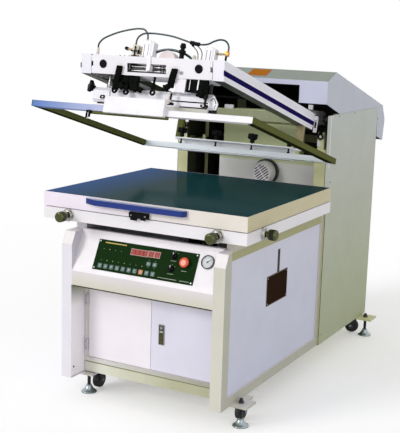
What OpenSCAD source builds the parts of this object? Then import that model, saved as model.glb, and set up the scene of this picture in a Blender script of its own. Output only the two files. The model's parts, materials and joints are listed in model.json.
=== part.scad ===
// Flat-bed screen printing machine with a tilting head, in millimetres, Z up.
// Working frame: X from the table centre, Y from the table front, Z from the floor.

/* [Table] */
// Width of the print table
table_w = 1000; // [800:10:1200]
// Depth of the print table
table_d = 903; // [700:1:1100]
// Height of the table top above the floor
table_z = 947; // [850:1:1050]
// Thickness of the upper slab
slab_t = 63; // [40:1:80]
// Height of the lower table frame
bed_h = 51; // [35:1:70]
// Micrometer knob diameter
knob_d = 46; // [30:1:60]

/* [Cabinet] */
// Outer half width of the cabinet
cab_x = 406; // [300:1:480]
// Width of a front leg
leg_w = 54; // [40:1:80]
// Height of the legs' lower ends above the floor
leg_z = 105; // [80:1:160]
// Depth of the door recess
recess_d = 105; // [40:1:160]
// Height of the console's lower edge
band_z = 541; // [450:1:620]
// Door sheet depth
door_t = 16; // [10:1:25]

/* [Tower] */
// Outer half width of the tower
tower_x = 415; // [320:1:480]
// Front of the tower above the table
tower_y = 1033; // [980:1:1100]
// Rear of the tower
tower_back = 1773; // [1500:1:2000]
// Height of the seam between tower and hood
seam_z = 1270; // [1150:1:1350]
// Height of the hood ridge
ridge_z = 1478; // [1350:1:1600]
// Sheet thickness of the covers
sheet = 3; // [2:0.5:5]

/* [Head] */
// Angle by which the head stands open
tilt = 15.7; // [0:0.1:25]
// Pivot distance behind the table front
pivot_y = 1295; // [1200:1:1400]
// Pivot height above the floor
pivot_z = 1230; // [1150:1:1300]
// Outer half distance across the arms
arm_x = 344; // [280:1:400]
// Width of one arm
arm_w = 52; // [40:1:70]
// Height of an arm
arm_h = 81; // [60:1:100]
// Arm length
arm_l = 1025; // [900:1:1100]

/* [Screen] */
// Outer half width of the screen frame
scr_x = 527; // [400:1:600]
// Length of the screen frame
scr_l = 959; // [700:1:1100]
// Height of the screen frame
scr_h = 26; // [20:1:40]
// Width of a frame member
scr_w = 36; // [25:1:60]
// Gap between table top and closed screen
off_contact = 8; // [4:1:20]
// Diameter of the air hoses
hose_d = 7.5; // [6:0.5:10]

/* [Hidden] */
$fn = 48;

// Shift that puts the origin under the middle of the whole machine
mid_x = 17;
mid_y = 914.09;

slab_z = table_z - slab_t;
bed_z = slab_z - 4 - bed_h;
bed_top = bed_z + bed_h;
in_x = cab_x - leg_w;
front_y = 6;
door_y = front_y + recess_d;
step_y = tower_y + 32;
arm_z = 1124;
arm_in = arm_x - arm_w;
scr_y = -29;
scr_z = table_z + off_contact;
crease_z = 606;
slope_a = atan(86 / 175);

module place() translate([-mid_x, -mid_y, 0]) children();

// Puts a part drawn with the head closed where the open head carries it
module head() translate([0, pivot_y, pivot_z]) rotate([-tilt, 0, 0])
  translate([0, -pivot_y, -pivot_z]) children();

// Drawing plane of the console: X across, Y up the slope, Z out of its face
module console() translate([0, front_y, crease_z]) rotate([90 - slope_a, 0, 0]) children();

// Box between two corners
module block(a, b) translate(a) cube([b[0] - a[0], b[1] - a[1], b[2] - a[2]]);

// Profile in the Y-Z plane, extruded along X from x0 to x1
module rib(x0, x1, pts) translate([x0, 0, 0]) rotate([90, 0, 90]) linear_extrude(x1 - x0) polygon(pts);

// Cylinder along X
module rod_x(x0, x1, y, z, d) translate([x0, y, z]) rotate([0, 90, 0]) cylinder(h = x1 - x0, d = d);

// Cylinder along Y
module rod_y(y0, y1, x, z, d) translate([x, y0, z]) rotate([-90, 0, 0]) cylinder(h = y1 - y0, d = d);

// Cylinder along Z
module rod_z(z0, z1, x, y, d) translate([x, y, z0]) cylinder(h = z1 - z0, d = d);

module both() {
  children();
  mirror([1, 0, 0]) children();
}

// Cabinet

module side_frame() difference() {
  rib(in_x, cab_x, [[front_y, leg_z], [step_y, leg_z], [step_y, bed_z], [118, bed_z], [118, 776],
    [front_y + 26, 776], [front_y, 722]]);
  block([cab_x - 10, 64, 151], [cab_x + 1, 1040, 742]);
  block([in_x - 1, door_y + door_t + 4, 190], [cab_x + 1, 1020, 730]);
  block([in_x - 1, door_y + door_t + 4, 190], [cab_x - 16, 1020, 780]);
}

module foot_plate(i) difference() {
  union() {
    translate([FEET[i][0] - 42, FEET[i][1] - 45, leg_z - 10]) cube([88, 96, 10]);
    translate([CASTORS[i][0] - 38, CASTORS[i][1] - 38, leg_z - 10]) cube([76, 76, 10]);
  }
  rod_z(leg_z - 11, leg_z + 1, FEET[i][0], FEET[i][1], 16.1);
  rod_z(leg_z - 11, leg_z + 1, CASTORS[i][0], CASTORS[i][1], 12.1);
}

module cabinet_frame() color([0.93, 0.92, 0.95]) place() difference() {
  union() {
    both() side_frame();
    block([-in_x, door_y, 111], [in_x, door_y + 40, 162]);
    block([-in_x, door_y - 4, 162], [in_x, door_y + 40, 182]);
    both() block([331, door_y, 182], [in_x, door_y + 6, 541]);
    block([-in_x, door_y, 537], [in_x, door_y + 30, 600]);
    block([-in_x, 1010, 111], [in_x, step_y, 162]);
    block([-in_x, 1010, 720], [in_x, step_y, 790]);
    block([-in_x, door_y + 40, 158], [in_x, 1010, 162]);
    for (i = [0 : 1]) foot_plate(i);
  }
  rod_z(leg_z - 11, 130, FEET[0][0], FEET[0][1], 17);
}

module front_cover() color([0.93, 0.92, 0.95]) place() difference() {
  rib(-in_x, in_x, [[front_y, band_z], [front_y, crease_z], [front_y + 86, crease_z + 175],
    [door_y, crease_z + 175], [door_y, 600], [door_y, band_z]]);
  rib(-in_x + sheet, in_x - sheet, [[front_y + 3, band_z + 3], [front_y + 3, crease_z - 1],
    [front_y + 88, crease_z + 172], [door_y + 1, crease_z + 172], [door_y + 1, band_z + 3]]);
  console() translate([295, 130, -20]) cylinder(h = 40, d = 52);
  for (p = KNOBS) console() translate([p[0], p[1], -20]) cylinder(h = 40, d = 9);
}

module side_panel() block([cab_x - 10, 64, 151], [cab_x - 7, 1040, 742]);

module left_side_panel() color([0.78, 0.78, 0.85]) place() mirror([1, 0, 0]) side_panel();

module right_side_panel() color([0.78, 0.78, 0.85]) place() difference() {
  side_panel();
  block([cab_x - 12, 542, 597], [cab_x - 5, 556, 700]);
}

// Plate on the cabinet side and label on the hood's sloped front
module blank_plates() color([0.3, 0.16, 0.1]) place() {
  block([cab_x - 7, 432, 458], [cab_x - 5.5, 657, 596]);
  translate([0, 1007, 1437]) rotate([atan(41 / 108), 0, 0]) translate([-28, 24, 0]) cube([106, 80, 1]);
}

module door() difference() {
  block([1, door_y - 2, 184], [329, door_y - 2 + door_t, 535]);
  block([3, door_y, 186], [327, door_y + door_t, 533]);
}

module left_door() color([0.95, 0.94, 0.97]) place() mirror([1, 0, 0]) door();

module right_door() color([0.95, 0.94, 0.97]) place() difference() {
  door();
  block([42, door_y - 5, 310], [66, door_y + 3, 398]);
}

module door_hinges() color([0.6, 0.6, 0.62]) place() both() for (z = [214, 427]) {
  rod_z(z, z + 52, 333, door_y - 6, 8);
  block([333, door_y - 4, z], [345, door_y, z + 52]);
}

module lock_plate() color([0.55, 0.55, 0.52]) place() difference() {
  union() {
    block([40, door_y - 5, 308], [68, door_y - 2, 400]);
    block([42.2, door_y - 2, 310.2], [65.8, door_y + 10, 397.8]);
  }
  block([44, door_y - 6, 316], [64, door_y + 3, 374]);
  rod_y(door_y - 6, door_y - 3.5, 54, 386, 13);
}

module lock_handle() color([0.35, 0.33, 0.25]) place() {
  block([44.5, door_y - 6, 322], [63.5, door_y - 2.5, 373.5]);
  rod_x(44.5, 63.5, door_y - 3, 320, 5.6);
}

// Console fittings

KNOBS = [[136, 76], [136, 133], [196, 110]];
WINDOWS = [[-77, 111, 84], [11, 113, 26], [41, 113, 26]];

module windows() for (w = WINDOWS) translate([w[0], w[1], 1.5]) cube([w[2], 26, 2]);

module control_plate() color([0.13, 0.27, 0.17]) place() console() difference() {
  translate([-250, 22, 0]) cube([500, 137, 3]);
  for (p = KNOBS) translate([p[0], p[1], -1]) cylinder(h = 5, d = 8.1);
  windows();
}

module display_windows() color([0.6, 0.12, 0.08]) place() console() windows();

module keypad() color([0.25, 0.45, 0.5]) place() console() {
  for (i = [0 : 9]) translate([-225 + 29.8 * i, 32, 3]) cube([20, 20, 1.5]);
  for (x = [12, 43]) translate([x, 73, 3]) cube([20, 18, 1.5]);
  for (x = [-242, 242], y = [30, 151]) translate([x, y, 3]) cylinder(h = 1.5, d = 7);
}

module selector(y) console() translate([136, y, 0]) {
  translate([0, 0, 3.4]) cylinder(h = 10, d = 28);
  translate([-4, -12, 3.4]) cube([8, 24, 16]);
  translate([0, 0, -12]) cylinder(h = 20, d = 8);
}

module left_selector() color([0.08, 0.08, 0.08]) place() selector(76);

module right_selector() color([0.08, 0.08, 0.08]) place() selector(133);

module emergency_button() color([0.85, 0.2, 0.1]) place() console() translate([196, 110, 0]) {
  translate([0, 0, -14]) cylinder(h = 26, d = 8);
  translate([0, 0, 11]) cylinder(h = 8, d1 = 30, d2 = 44);
  translate([0, 0, 19]) cylinder(h = 7, d1 = 44, d2 = 34);
}

module gauge_case() color([0.85, 0.85, 0.86]) place() console() translate([295, 130, 0]) difference() {
  union() {
    translate([0, 0, -30]) cylinder(h = 36, d = 51.6);
    cylinder(h = 8, d = 60);
  }
  translate([0, 0, 3]) cylinder(h = 6, d = 52);
  cylinder(h = 4, d = 2.1);
}

module gauge_needle() color([0.1, 0.1, 0.12]) place() console()
    translate([295, 130, 3.5]) rotate([0, 0, -50]) {
  cylinder(h = 2, d = 7);
  translate([0, 0, -3]) cylinder(h = 4, d = 2);
  translate([-1, -8, 0]) cube([2, 28, 1]);
}

// Feet and castors

FEET = [[-345, 137], [428, 157], [-352, 1640], [448, 1688]];
CASTORS = [[-335, 205, 0], [400, 217, 0], [-352, 1568, 0], [370, 1690, 90]];

module levelling_feet() color([0.5, 0.6, 0.65]) place() for (p = FEET) translate([p[0], p[1], 0]) {
  cylinder(h = 8, d = 72);
  translate([0, 0, 8]) cylinder(h = 22, d1 = 72, d2 = 28);
  translate([0, 0, 30]) cylinder(h = 8, d = 24);
  translate([0, 0, 30]) cylinder(h = 96, d = 16);
  translate([0, 0, leg_z - 22]) cylinder(h = 12, d = 27, $fn = 6);
}

module castor_at(i) translate([CASTORS[i][0], CASTORS[i][1], 0]) rotate([0, 0, CASTORS[i][2]]) children();

module fork(i) castor_at(i) difference() {
  union() {
    translate([0, 0, leg_z - 17]) cylinder(h = 6.6, d = 46);
    translate([0, 0, leg_z - 17]) cylinder(h = 16, d = 12);
    rib(-21, 21, [[-20, leg_z - 17], [20, leg_z - 17], [20, 60], [10, 32], [-10, 32], [-20, 60]]);
  }
  block([-17, -50, 20], [17, 50, leg_z - 21]);
  rod_x(-30, 30, 0, 43, 8.1);
}

module wheel(i) castor_at(i) {
  rod_x(-15, 15, 0, 43, 75);
  rod_x(-16.6, 16.6, 0, 43, 30);
  rod_x(-23, 23, 0, 43, 8);
}

module front_left_fork() color([0.3, 0.3, 0.32]) place() fork(0);

module front_right_fork() color([0.3, 0.3, 0.32]) place() fork(1);

module rear_left_fork() color([0.3, 0.3, 0.32]) place() fork(2);

module rear_right_fork() color([0.3, 0.3, 0.32]) place() fork(3);

module front_left_wheel() color([0.1, 0.1, 0.1]) place() wheel(0);

module front_right_wheel() color([0.1, 0.1, 0.1]) place() wheel(1);

module rear_left_wheel() color([0.1, 0.1, 0.1]) place() wheel(2);

module rear_right_wheel() color([0.1, 0.1, 0.1]) place() wheel(3);

// Table

module table_bed() color([0.93, 0.92, 0.95]) place() difference() {
  block([-table_w / 2, 0, bed_z], [table_w / 2, table_d, bed_top]);
  block([-table_w / 2 + 110, 110, bed_z - 1], [table_w / 2 - 110, table_d - 90, bed_top + 1]);
  for (x = [-367, 367]) rod_y(-1, 60, x, 854, 14.1);
  rod_x(440, 501, 154, 854, 14.1);
}

module cross_slide() color([0.3, 0.3, 0.3]) place() difference() {
  block([-table_w / 2 + 12, 12, bed_top + 0.3], [table_w / 2 - 12, table_d - 12, slab_z - 0.3]);
  block([-table_w / 2 + 90, 90, bed_top], [table_w / 2 - 90, table_d - 70, slab_z]);
}

module table_slab() color([0.93, 0.91, 0.9]) place() difference() {
  block([-table_w / 2, 0, slab_z], [table_w / 2, table_d, table_z]);
  block([-table_w / 2 + 4, 4, table_z - 8], [table_w / 2 - 4, table_d - 4, table_z + 1]);
  block([-table_w / 2 + 40, 40, slab_z - 1], [table_w / 2 - 40, table_d - 40, table_z - 20]);
  for (x = [-150, 120]) rod_y(-1, 34, x, 928, 10.1);
}

module table_top() color([0.17, 0.3, 0.34]) place()
  block([-table_w / 2 + 4, 4, table_z - 8], [table_w / 2 - 4, table_d - 4, table_z]);

module bush() difference() {
  union() {
    cylinder(h = 8, d = 56);
    cylinder(h = 14, d = 38);
  }
  translate([0, 0, -1]) cylinder(h = 16, d = 14.1);
}

module adjuster(reach) {
  translate([0, 0, -50]) cylinder(h = 60 + reach - 40, d = 14);
  translate([0, 0, reach - 44]) cylinder(h = 10, d = 26);
  translate([0, 0, reach - 35]) cylinder(h = 29, d = knob_d);
  translate([0, 0, reach - 6]) cylinder(h = 6, d1 = knob_d, d2 = knob_d - 12);
}

module at_front(x) translate([x, 0, 854]) rotate([90, 0, 0]) children();

module at_side() translate([500, 154, 854]) rotate([0, 90, 0]) children();

module adjuster_bushes() color([0.7, 0.7, 0.68]) place() {
  for (x = [-367, 367]) at_front(x) bush();
  at_side() bush();
}

module left_adjuster() color([0.3, 0.35, 0.33]) place() at_front(-367) adjuster(74);

module right_adjuster() color([0.3, 0.35, 0.33]) place() at_front(367) adjuster(74);

module side_adjuster() color([0.3, 0.35, 0.33]) place() at_side() adjuster(61);

module start_bar() color([0.14, 0.24, 0.5]) place() {
  translate([0, 0, 917]) linear_extrude(24) polygon([[-270, -7], [-212, -30], [216, -30], [228, -7]]);
  for (x = [-150, 120]) rod_y(-8, 24, x, 928, 10);
}

module bar_bracket() color([0.07, 0.07, 0.07]) place() {
  block([-46, -16, slab_z], [46, 0, 908]);
  block([-40, -16, 874], [-8, -10, slab_z]);
  block([10, -16, 878], [34, -10, slab_z]);
}

// Tower

module upright() difference() {
  rib(355, tower_x - sheet, [[step_y + 2, 160], [step_y + 60, 160], [step_y + 60, 1105], [tower_y, 1105],
    [tower_y, bed_z + 4], [step_y + 2, bed_z + 4]]);
  block([359, step_y + 6, 170], [tower_x - sheet - 4, step_y + 61, 1100]);
}

module tower_frame() color([0.9, 0.89, 0.9]) place() difference() {
  union() {
    both() upright();
    both() block([355, 1262, 160], [375, 1328, 1262]);
    both() block([355, tower_back - 60, 160], [tower_x - sheet, tower_back - sheet, 1265]);
    block([-tower_x + sheet, step_y + 2, leg_z], [tower_x - sheet, tower_back - sheet, 160]);
    for (i = [2 : 3]) foot_plate(i);
    both() block([355, step_y + 60, 1050], [375, tower_back - 60, 1090]);
    block([-tower_x + sheet, tower_back - 50, 1050], [tower_x - sheet, tower_back - sheet, 1090]);
    both() block([364, 1040, 1105], [396, 1070, 1157]);
    both() rod_x(366, 392, 1055, 1171, 40);
  }
  block([-360, step_y + 60, 112], [360, tower_back - 50, 164]);
  both() rod_x(350, 380, pivot_y, pivot_z, 40.1);
  rod_z(leg_z - 11, 130, FEET[2][0], FEET[2][1], 17);
  for (i = [2 : 3]) rod_z(leg_z - 11, leg_z + 1, CASTORS[i][0], CASTORS[i][1], 12.1);
}

module tower_skin() color([0.72, 0.74, 0.73]) place() {
  both() rib(tower_x - sheet, tower_x, [[step_y, leg_z], [tower_back, leg_z], [tower_back, seam_z],
    [tower_y, seam_z], [tower_y, bed_z], [step_y, bed_z]]);
  block([-tower_x, tower_back - sheet, leg_z], [tower_x, tower_back, seam_z]);
}

hood_out = [[1007, 1327], [1007, 1437], [1115, ridge_z], [1858, 1275], [1905, 1194], [1884, 1081],
  [1782, 1108], [tower_back + 1, seam_z], [1190, seam_z]];
hood_in = [[1000, 1320], [1007 + sheet, 1320], [1007 + sheet, 1435], [1116, ridge_z - sheet],
  [1856, 1272], [1902, 1193], [1881, 1074], [1770, 1100], [1770, seam_z - 8], [1190, seam_z - 8]];

module hood() color([0.82, 0.82, 0.88]) place() difference() {
  rib(-tower_x, tower_x, hood_out);
  rib(-tower_x + sheet, tower_x - sheet, hood_in);
  block([-268, 1000, 1336], [268, 1015, 1412]);
}

module drive_housing() color([0.62, 0.63, 0.52]) place() {
  translate([0, 1180, 0]) rotate([90, 0, 0]) linear_extrude(60)
    polygon([[-190, 1040], [-190, 1243], [-140, 1266], [36, 1270], [215, 1199], [238, 1180], [238, 1040]]);
  block([-222, 1140, 112], [352, 1150, 1040]);
}

module blower_motor() color([0.85, 0.85, 0.84]) place() difference() {
  rod_y(1066, 1140, 58, 955, 112);
  rod_y(1068, 1100, 58, 955, 104);
  rod_y(1099, 1120, 58, 955, 8.1);
  for (x = [-35, -21, -7, 7, 21, 35]) block([58 + x - 4, 1060, 955 - 40 + abs(x) / 2],
    [58 + x + 4, 1070, 955 + 40 - abs(x) / 2]);
}

module blower_fan() color([0.2, 0.2, 0.2]) place() {
  rod_y(1080, 1092, 58, 955, 30);
  rod_y(1085, 1118, 58, 955, 8);
  for (a = [0 : 60 : 300]) translate([58, 1080, 955]) rotate([0, a, 0])
    translate([10, 0, -6]) cube([38, 10, 12]);
}

module hinge_shaft() color([0.6, 0.6, 0.62]) place() rod_x(-374, 374, pivot_y, pivot_z, 40);

// Head

arm_top = arm_z + arm_h;

module arm() difference() {
  rib(arm_in, arm_x, [[37, arm_z], [16, arm_top], [20 + arm_l, arm_top], [3 + arm_l, arm_z]]);
  rib(arm_in + 5, arm_x - 5, [[48, arm_z + 5], [29, arm_top - 5], [5 + arm_l, arm_top - 5],
    [arm_l - 9, arm_z + 5]]);
}

module arms() color([0.9, 0.89, 0.96]) place() head() {
  both() arm();
  both() difference() {
    rib(arm_in - 22, arm_in, [[900, arm_z + 10], [900, arm_z + 70], [1100, arm_z + 110], [1270, 1264],
      [1320, 1264], [1320, 1196], [1270, 1196], [1060, arm_z + 6]]);
    rod_x(arm_in - 30, arm_in + 8, pivot_y, pivot_z, 40.1);
  }
  block([-arm_in + 22, 960, arm_z + 12], [arm_in - 22, 1010, arm_z + 62]);
}

module guide_rails() color([0.7, 0.7, 0.72]) place() head() both()
  block([arm_in - 9, 50, arm_z + 34], [arm_in, 890, arm_z + 50]);

module screen_frame() color([0.7, 0.73, 0.85]) place() head() difference() {
  block([-scr_x, scr_y, scr_z], [scr_x, scr_y + scr_l, scr_z + scr_h]);
  block([-scr_x + scr_w, scr_y + scr_w, scr_z - 1],
    [scr_x - scr_w, scr_y + scr_l - scr_w, scr_z + scr_h + 1]);
}

module front_clamp() color([0.93, 0.93, 0.95]) place() head() {
  block([-143, scr_y - 22, scr_z - 6], [143, scr_y, scr_z + 62]);
  difference() {
    block([-215, scr_y, scr_z + scr_h], [150, scr_y + 50, scr_z + scr_h + 6]);
    rod_z(scr_z + scr_h - 1, scr_z + scr_h + 7, -178, scr_y + 26, 22);
  }
}

CLAMPS = [-293, -98, 98, 293];
clamp_y = 900;

module rear_holder() color([0.8, 0.8, 0.86]) place() head() difference() {
  union() {
    rib(-312, 312, [[868, 1008], [936, 1008], [936, 950], [900, 950], [900, 954.5], [930, 954.5],
      [930, 1003], [868, 1003]]);
    both() block([310, 922, 1003], [342, 942, arm_z]);
  }
  for (x = CLAMPS) rod_z(1000, 1010, x, clamp_y, 8.1);
}

// Grip with five lobes: the radius swings by a fifth around its mean
module star(d, h) linear_extrude(h)
  polygon([for (a = [0 : 7.5 : 352.5]) (0.42 + 0.08 * cos(5 * a)) * d * [cos(a), sin(a)]]);

module clamp_screws() color([0.08, 0.08, 0.08]) place() head() {
  for (x = CLAMPS) {
    rod_z(scr_z + scr_h, 1032, x, clamp_y, 8);
    rod_z(scr_z + scr_h, 988, x, clamp_y, 12);
  }
  for (i = [0, 1, 3]) translate([CLAMPS[i], clamp_y, 1008]) cylinder(h = 8, d = 17, $fn = 6);
  translate([CLAMPS[2], clamp_y, 1032]) star(42, 16);
}

beam_back = 136;

module carriage_beam() color([0.94, 0.93, 0.95]) place() head() {
  difference() {
    rib(-281, 281, [[35, arm_z + 2], [14, arm_top - 3], [beam_back, arm_top - 3], [beam_back, arm_z + 2]]);
    block([-110, 0, 1141], [78, beam_back + 1, 1174]);
    for (x = [-230, 230]) rod_y(0, 34, x, 1166, 32);
    for (x = [-222, 222]) rod_z(1100, 1196, x, 84, 12.1);
    for (x = [-250, 250]) rod_z(1100, 1196, x, 119, 12.1);
  }
  for (z = [1149, 1166]) rod_x(-112, 80, 44, z, 7);
  difference() {
    rod_y(60, 100, 52, 1204, 80);
    block([10, 59, 1160], [94, 101, arm_top - 3]);
  }
  rod_z(arm_top - 3, 1214, -274, 34, 12);
  block([122, 42, 1070], [170, 62, arm_z + 2]);
}

module air_cylinder() {
  cube([38, 44, 78]);
  for (y = [4, 14, 24, 34]) translate([38, y, 4]) cube([12, 6, 70]);
  translate([38, 2, 0]) cube([4, 40, 78]);
}

module air_cylinders() color([0.93, 0.93, 0.95]) place() head() {
  translate([-66, 50, arm_top - 3]) air_cylinder();
  translate([214, 82, arm_top - 3]) scale(0.88) air_cylinder();
  rib(-12, 6, [[50, 1202], [50, 1208], [9, 1208], [9, 1196], [16, 1168], [16, 1146], [40.4, 1146],
    [40.4, 1170.9], [22.59, 1170.9], [14, 1202]]);
}

module valve_block() color([0.6, 0.58, 0.5]) place() head() {
  block([-128, 56, arm_top - 3], [-72, 92, 1222]);
  block([-122, 60, 1222], [-92, 88, 1262]);
  rod_z(1222, 1256, -82, 70, 14);
  rod_x(-150, -122, 74, 1246, 12);
  rod_z(1262, 1268, -116, 74, 14);
  rod_z(arm_top - 3, 1232, 172, 75, 16);
  rod_x(258, 307, 104, 1250, 10);
  rod_z(1242, 1262, 307, 104, 14);
}

module hand_screws() color([0.07, 0.07, 0.08]) place() head() {
  rod_z(arm_top - 3, 1262, 112, 75, 20);
  rod_z(1238, 1250, 112, 75, 30);
  translate([112, 75, 1262]) cylinder(h = 18, d1 = 26, d2 = 18);
}

// Lever that leans sideways from its pivot on the beam's front face down to its foot
module lever(top, foot, low) intersection() {
  rib(foot - 30, top + 30, [[12, 1160], [25.6, 1160], [35, 1126], [50, low], [37, low], [22, 1124]]);
  translate([0, 60, 0]) rotate([90, 0, 0]) linear_extrude(60)
    polygon([[foot - 14, low], [foot + 14, low], [top + 12, 1160], [top - 12, 1160]]);
}

module lift_levers() color([0.06, 0.06, 0.07]) place() head() {
  lever(-142, -164, 1062);
  lever(124, 100, 1086);
  difference() {
    block([-134, 46, 1072], [-62, 66, arm_z + 2]);
    rod_y(40, 70, -100, 1094, 20);
  }
  block([173, 44, 1076], [186, 66, arm_z + 2]);
  block([190, 44, 1074], [222, 66, arm_z + 2]);
  block([230, 44, 1062], [266, 66, arm_z + 2]);
}

module squeegee_holder() color([0.8, 0.82, 0.8]) place() head() {
  rib(-288, 288, [[70, 1060], [80, 1077], [100, 1048], [92, 1014], [74, 1014]]);
  both() rod_z(1050, 1190, 222, 84, 12);
  rod_x(-301, -287, 86, 1050, 10);
  translate([-322, 86, 1050]) rotate([0, 90, 0]) star(52, 22);
}

module squeegee_blade() color([0.35, 0.3, 0.2]) place() head() block([-270, 79, 984], [270, 88, 1014]);

module flood_bar() color([0.7, 0.72, 0.72]) place() head() {
  rib(-288, 288, [[112, 1060], [126, 1060], [128, 988], [125, 988], [118, 1036], [112, 1040]]);
  both() rod_z(1050, 1190, 250, 119, 12);
}

// Air hoses: points along each run, closed-head position, and the swept tube

LEFT_RUN = [[-274, 34, 1214], [-274, 34, 1225], [-277, 36, 1239], [-280, 40, 1253], [-278, 46, 1266],
  [-270, 52, 1280], [-253, 58, 1293], [-230, 61, 1304], [-203, 62, 1314], [-172, 62, 1322],
  [-142, 62, 1328], [-112, 62, 1332], [-81, 62, 1330], [-63, 62, 1316], [-56, 62, 1300], [-55, 62, 1280]];
MAIN_RUN = [[-116, 74, 1268], [-115, 74, 1287], [-106, 75, 1304], [-85, 77, 1316], [-48, 80, 1319],
  [-10, 80, 1317], [26, 79, 1313], [62, 78, 1307], [98, 78, 1298], [132, 78, 1289], [166, 79, 1282],
  [198, 81, 1280], [222, 85, 1285], [241, 88, 1296], [260, 93, 1305], [277, 97, 1307], [291, 100, 1303],
  [301, 103, 1293], [307, 104, 1278], [307, 104, 1262]];

function spline(p, i, t) = let (a = p[max(i - 1, 0)], b = p[i], c = p[i + 1], d = p[min(i + 2, len(p) - 1)])
  0.5 * (2 * b + (c - a) * t + (2 * a - 5 * b + 4 * c - d) * t * t + (3 * b - a - 3 * c + d) * t * t * t);

function path(p, n) = [for (i = [0 : len(p) - 2], k = [0 : n - 1]) spline(p, i, k / n), p[len(p) - 1]];

// Direction of the run at a point: straight up from its first fitting and down into its last
function dir(q, i) = i == 0 ? [0, 0, 1] : i == len(q) - 1 ? [0, 0, -1]
  : let (v = q[i + 1] - q[i - 1]) v / norm(v);

function ring(c, t, r, m) = let (u = [0, 1, 0], w = cross(t, u) / norm(cross(t, u)))
  [for (k = [0 : m - 1]) c + r * (cos(360 * k / m) * u + sin(360 * k / m) * w)];

module tube(p, n, d, m) {
  q = path(p, n);
  c = len(q);
  pts = [for (i = [0 : c - 1]) each ring(q[i], dir(q, i), d / 2, m)];
  sides = [for (i = [0 : c - 2], k = [0 : m - 1])
    [i * m + k, i * m + (k + 1) % m, (i + 1) * m + (k + 1) % m, (i + 1) * m + k]];
  polyhedron(pts, concat([[for (k = [m - 1 : -1 : 0]) k]], sides, [[for (k = [0 : m - 1]) (c - 1) * m + k]]));
}

module left_hose() color([0.12, 0.25, 0.3]) place() head() tube(LEFT_RUN, 2, hose_d, 10);

module main_hose() color([0.12, 0.25, 0.3]) place() head() tube(MAIN_RUN, 2, hose_d, 10);

cabinet_frame();
front_cover();
left_side_panel();
right_side_panel();
blank_plates();
left_door();
right_door();
door_hinges();
lock_plate();
lock_handle();
control_plate();
display_windows();
keypad();
left_selector();
right_selector();
emergency_button();
gauge_case();
gauge_needle();
levelling_feet();
front_left_fork();
front_right_fork();
rear_left_fork();
rear_right_fork();
front_left_wheel();
front_right_wheel();
rear_left_wheel();
rear_right_wheel();
table_bed();
cross_slide();
table_slab();
table_top();
adjuster_bushes();
left_adjuster();
right_adjuster();
side_adjuster();
start_bar();
bar_bracket();
tower_frame();
tower_skin();
hood();
drive_housing();
blower_motor();
blower_fan();
hinge_shaft();
arms();
guide_rails();
screen_frame();
front_clamp();
rear_holder();
clamp_screws();
carriage_beam();
air_cylinders();
valve_block();
hand_screws();
lift_levers();
squeegee_holder();
squeegee_blade();
flood_bar();
left_hose();
main_hose();
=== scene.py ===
"""Looks of a flat-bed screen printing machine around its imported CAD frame.

Every sub-assembly is a class that holds its sizes in millimetres, measured in the machine's own
frame (X from the table's centre, Y from the table's front edge, Z from the floor), and builds its
pieces as grids worked out with numpy. The frame gives where that machine frame stands.
"""

from __future__ import annotations

import json
import logging
import math
from dataclasses import dataclass, field
from enum import Enum
from typing import Sequence

import bmesh
import bpy
import numpy as np
from mathutils import Matrix, Vector

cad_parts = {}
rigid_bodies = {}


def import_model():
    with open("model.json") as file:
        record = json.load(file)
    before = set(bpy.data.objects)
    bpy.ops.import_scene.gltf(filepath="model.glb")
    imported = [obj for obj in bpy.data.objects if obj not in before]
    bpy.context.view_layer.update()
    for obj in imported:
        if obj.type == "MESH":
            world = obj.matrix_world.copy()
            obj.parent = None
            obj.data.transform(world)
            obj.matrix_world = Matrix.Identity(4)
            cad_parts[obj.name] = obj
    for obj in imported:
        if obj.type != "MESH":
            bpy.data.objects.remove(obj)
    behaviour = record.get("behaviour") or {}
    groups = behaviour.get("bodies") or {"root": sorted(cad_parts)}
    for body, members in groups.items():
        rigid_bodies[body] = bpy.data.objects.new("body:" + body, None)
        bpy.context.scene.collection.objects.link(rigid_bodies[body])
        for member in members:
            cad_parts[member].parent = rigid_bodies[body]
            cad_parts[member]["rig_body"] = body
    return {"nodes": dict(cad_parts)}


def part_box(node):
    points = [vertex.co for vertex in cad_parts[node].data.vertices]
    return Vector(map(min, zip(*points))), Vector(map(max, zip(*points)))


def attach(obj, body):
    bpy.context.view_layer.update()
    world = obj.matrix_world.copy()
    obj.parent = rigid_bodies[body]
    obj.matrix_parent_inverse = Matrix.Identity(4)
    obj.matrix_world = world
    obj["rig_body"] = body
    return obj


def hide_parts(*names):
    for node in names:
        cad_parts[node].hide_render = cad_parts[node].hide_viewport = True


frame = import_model()

LOG = logging.getLogger("screen_printer")
Array = np.ndarray
Socket = bpy.types.NodeSocket
Thing = bpy.types.Object
Point = Sequence[float]
Colour = tuple[float, float, float]

MM = 0.001
MERGE = 5e-6  # metres within which two points are one
FLAT = 0.6  # degrees within which two faces are one
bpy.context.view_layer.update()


class Axis(Enum):
    """An axis of the machine frame: its own number, then the two of the plane across it."""

    X = (0, 1, 2)
    Y = (1, 0, 2)
    Z = (2, 0, 1)


@dataclass(frozen=True)
class Pose:
    """A turn and a shift in millimetres that carry drawn points to the machine frame."""

    turn: Array = field(default_factory=lambda: np.eye(3))
    shift: Array = field(default_factory=lambda: np.zeros(3))

    def place(self, points: Array) -> Array:
        """Carries points by the pose.

        Args:
            points: any array whose last axis is x, y, z in millimetres.

        Returns:
            The turned points plus the shift.
        """
        return points @ self.turn.T + self.shift


def machine_pose() -> Pose:
    """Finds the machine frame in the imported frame: under the middle of the table's front edge.

    Returns:
        The shift from machine millimetres to packed millimetres.
    """
    low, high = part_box("table_bed")
    return Pose(shift=np.array([(low.x + high.x) / 2, low.y, 0.0]) / MM)


MACHINE = machine_pose()


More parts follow.
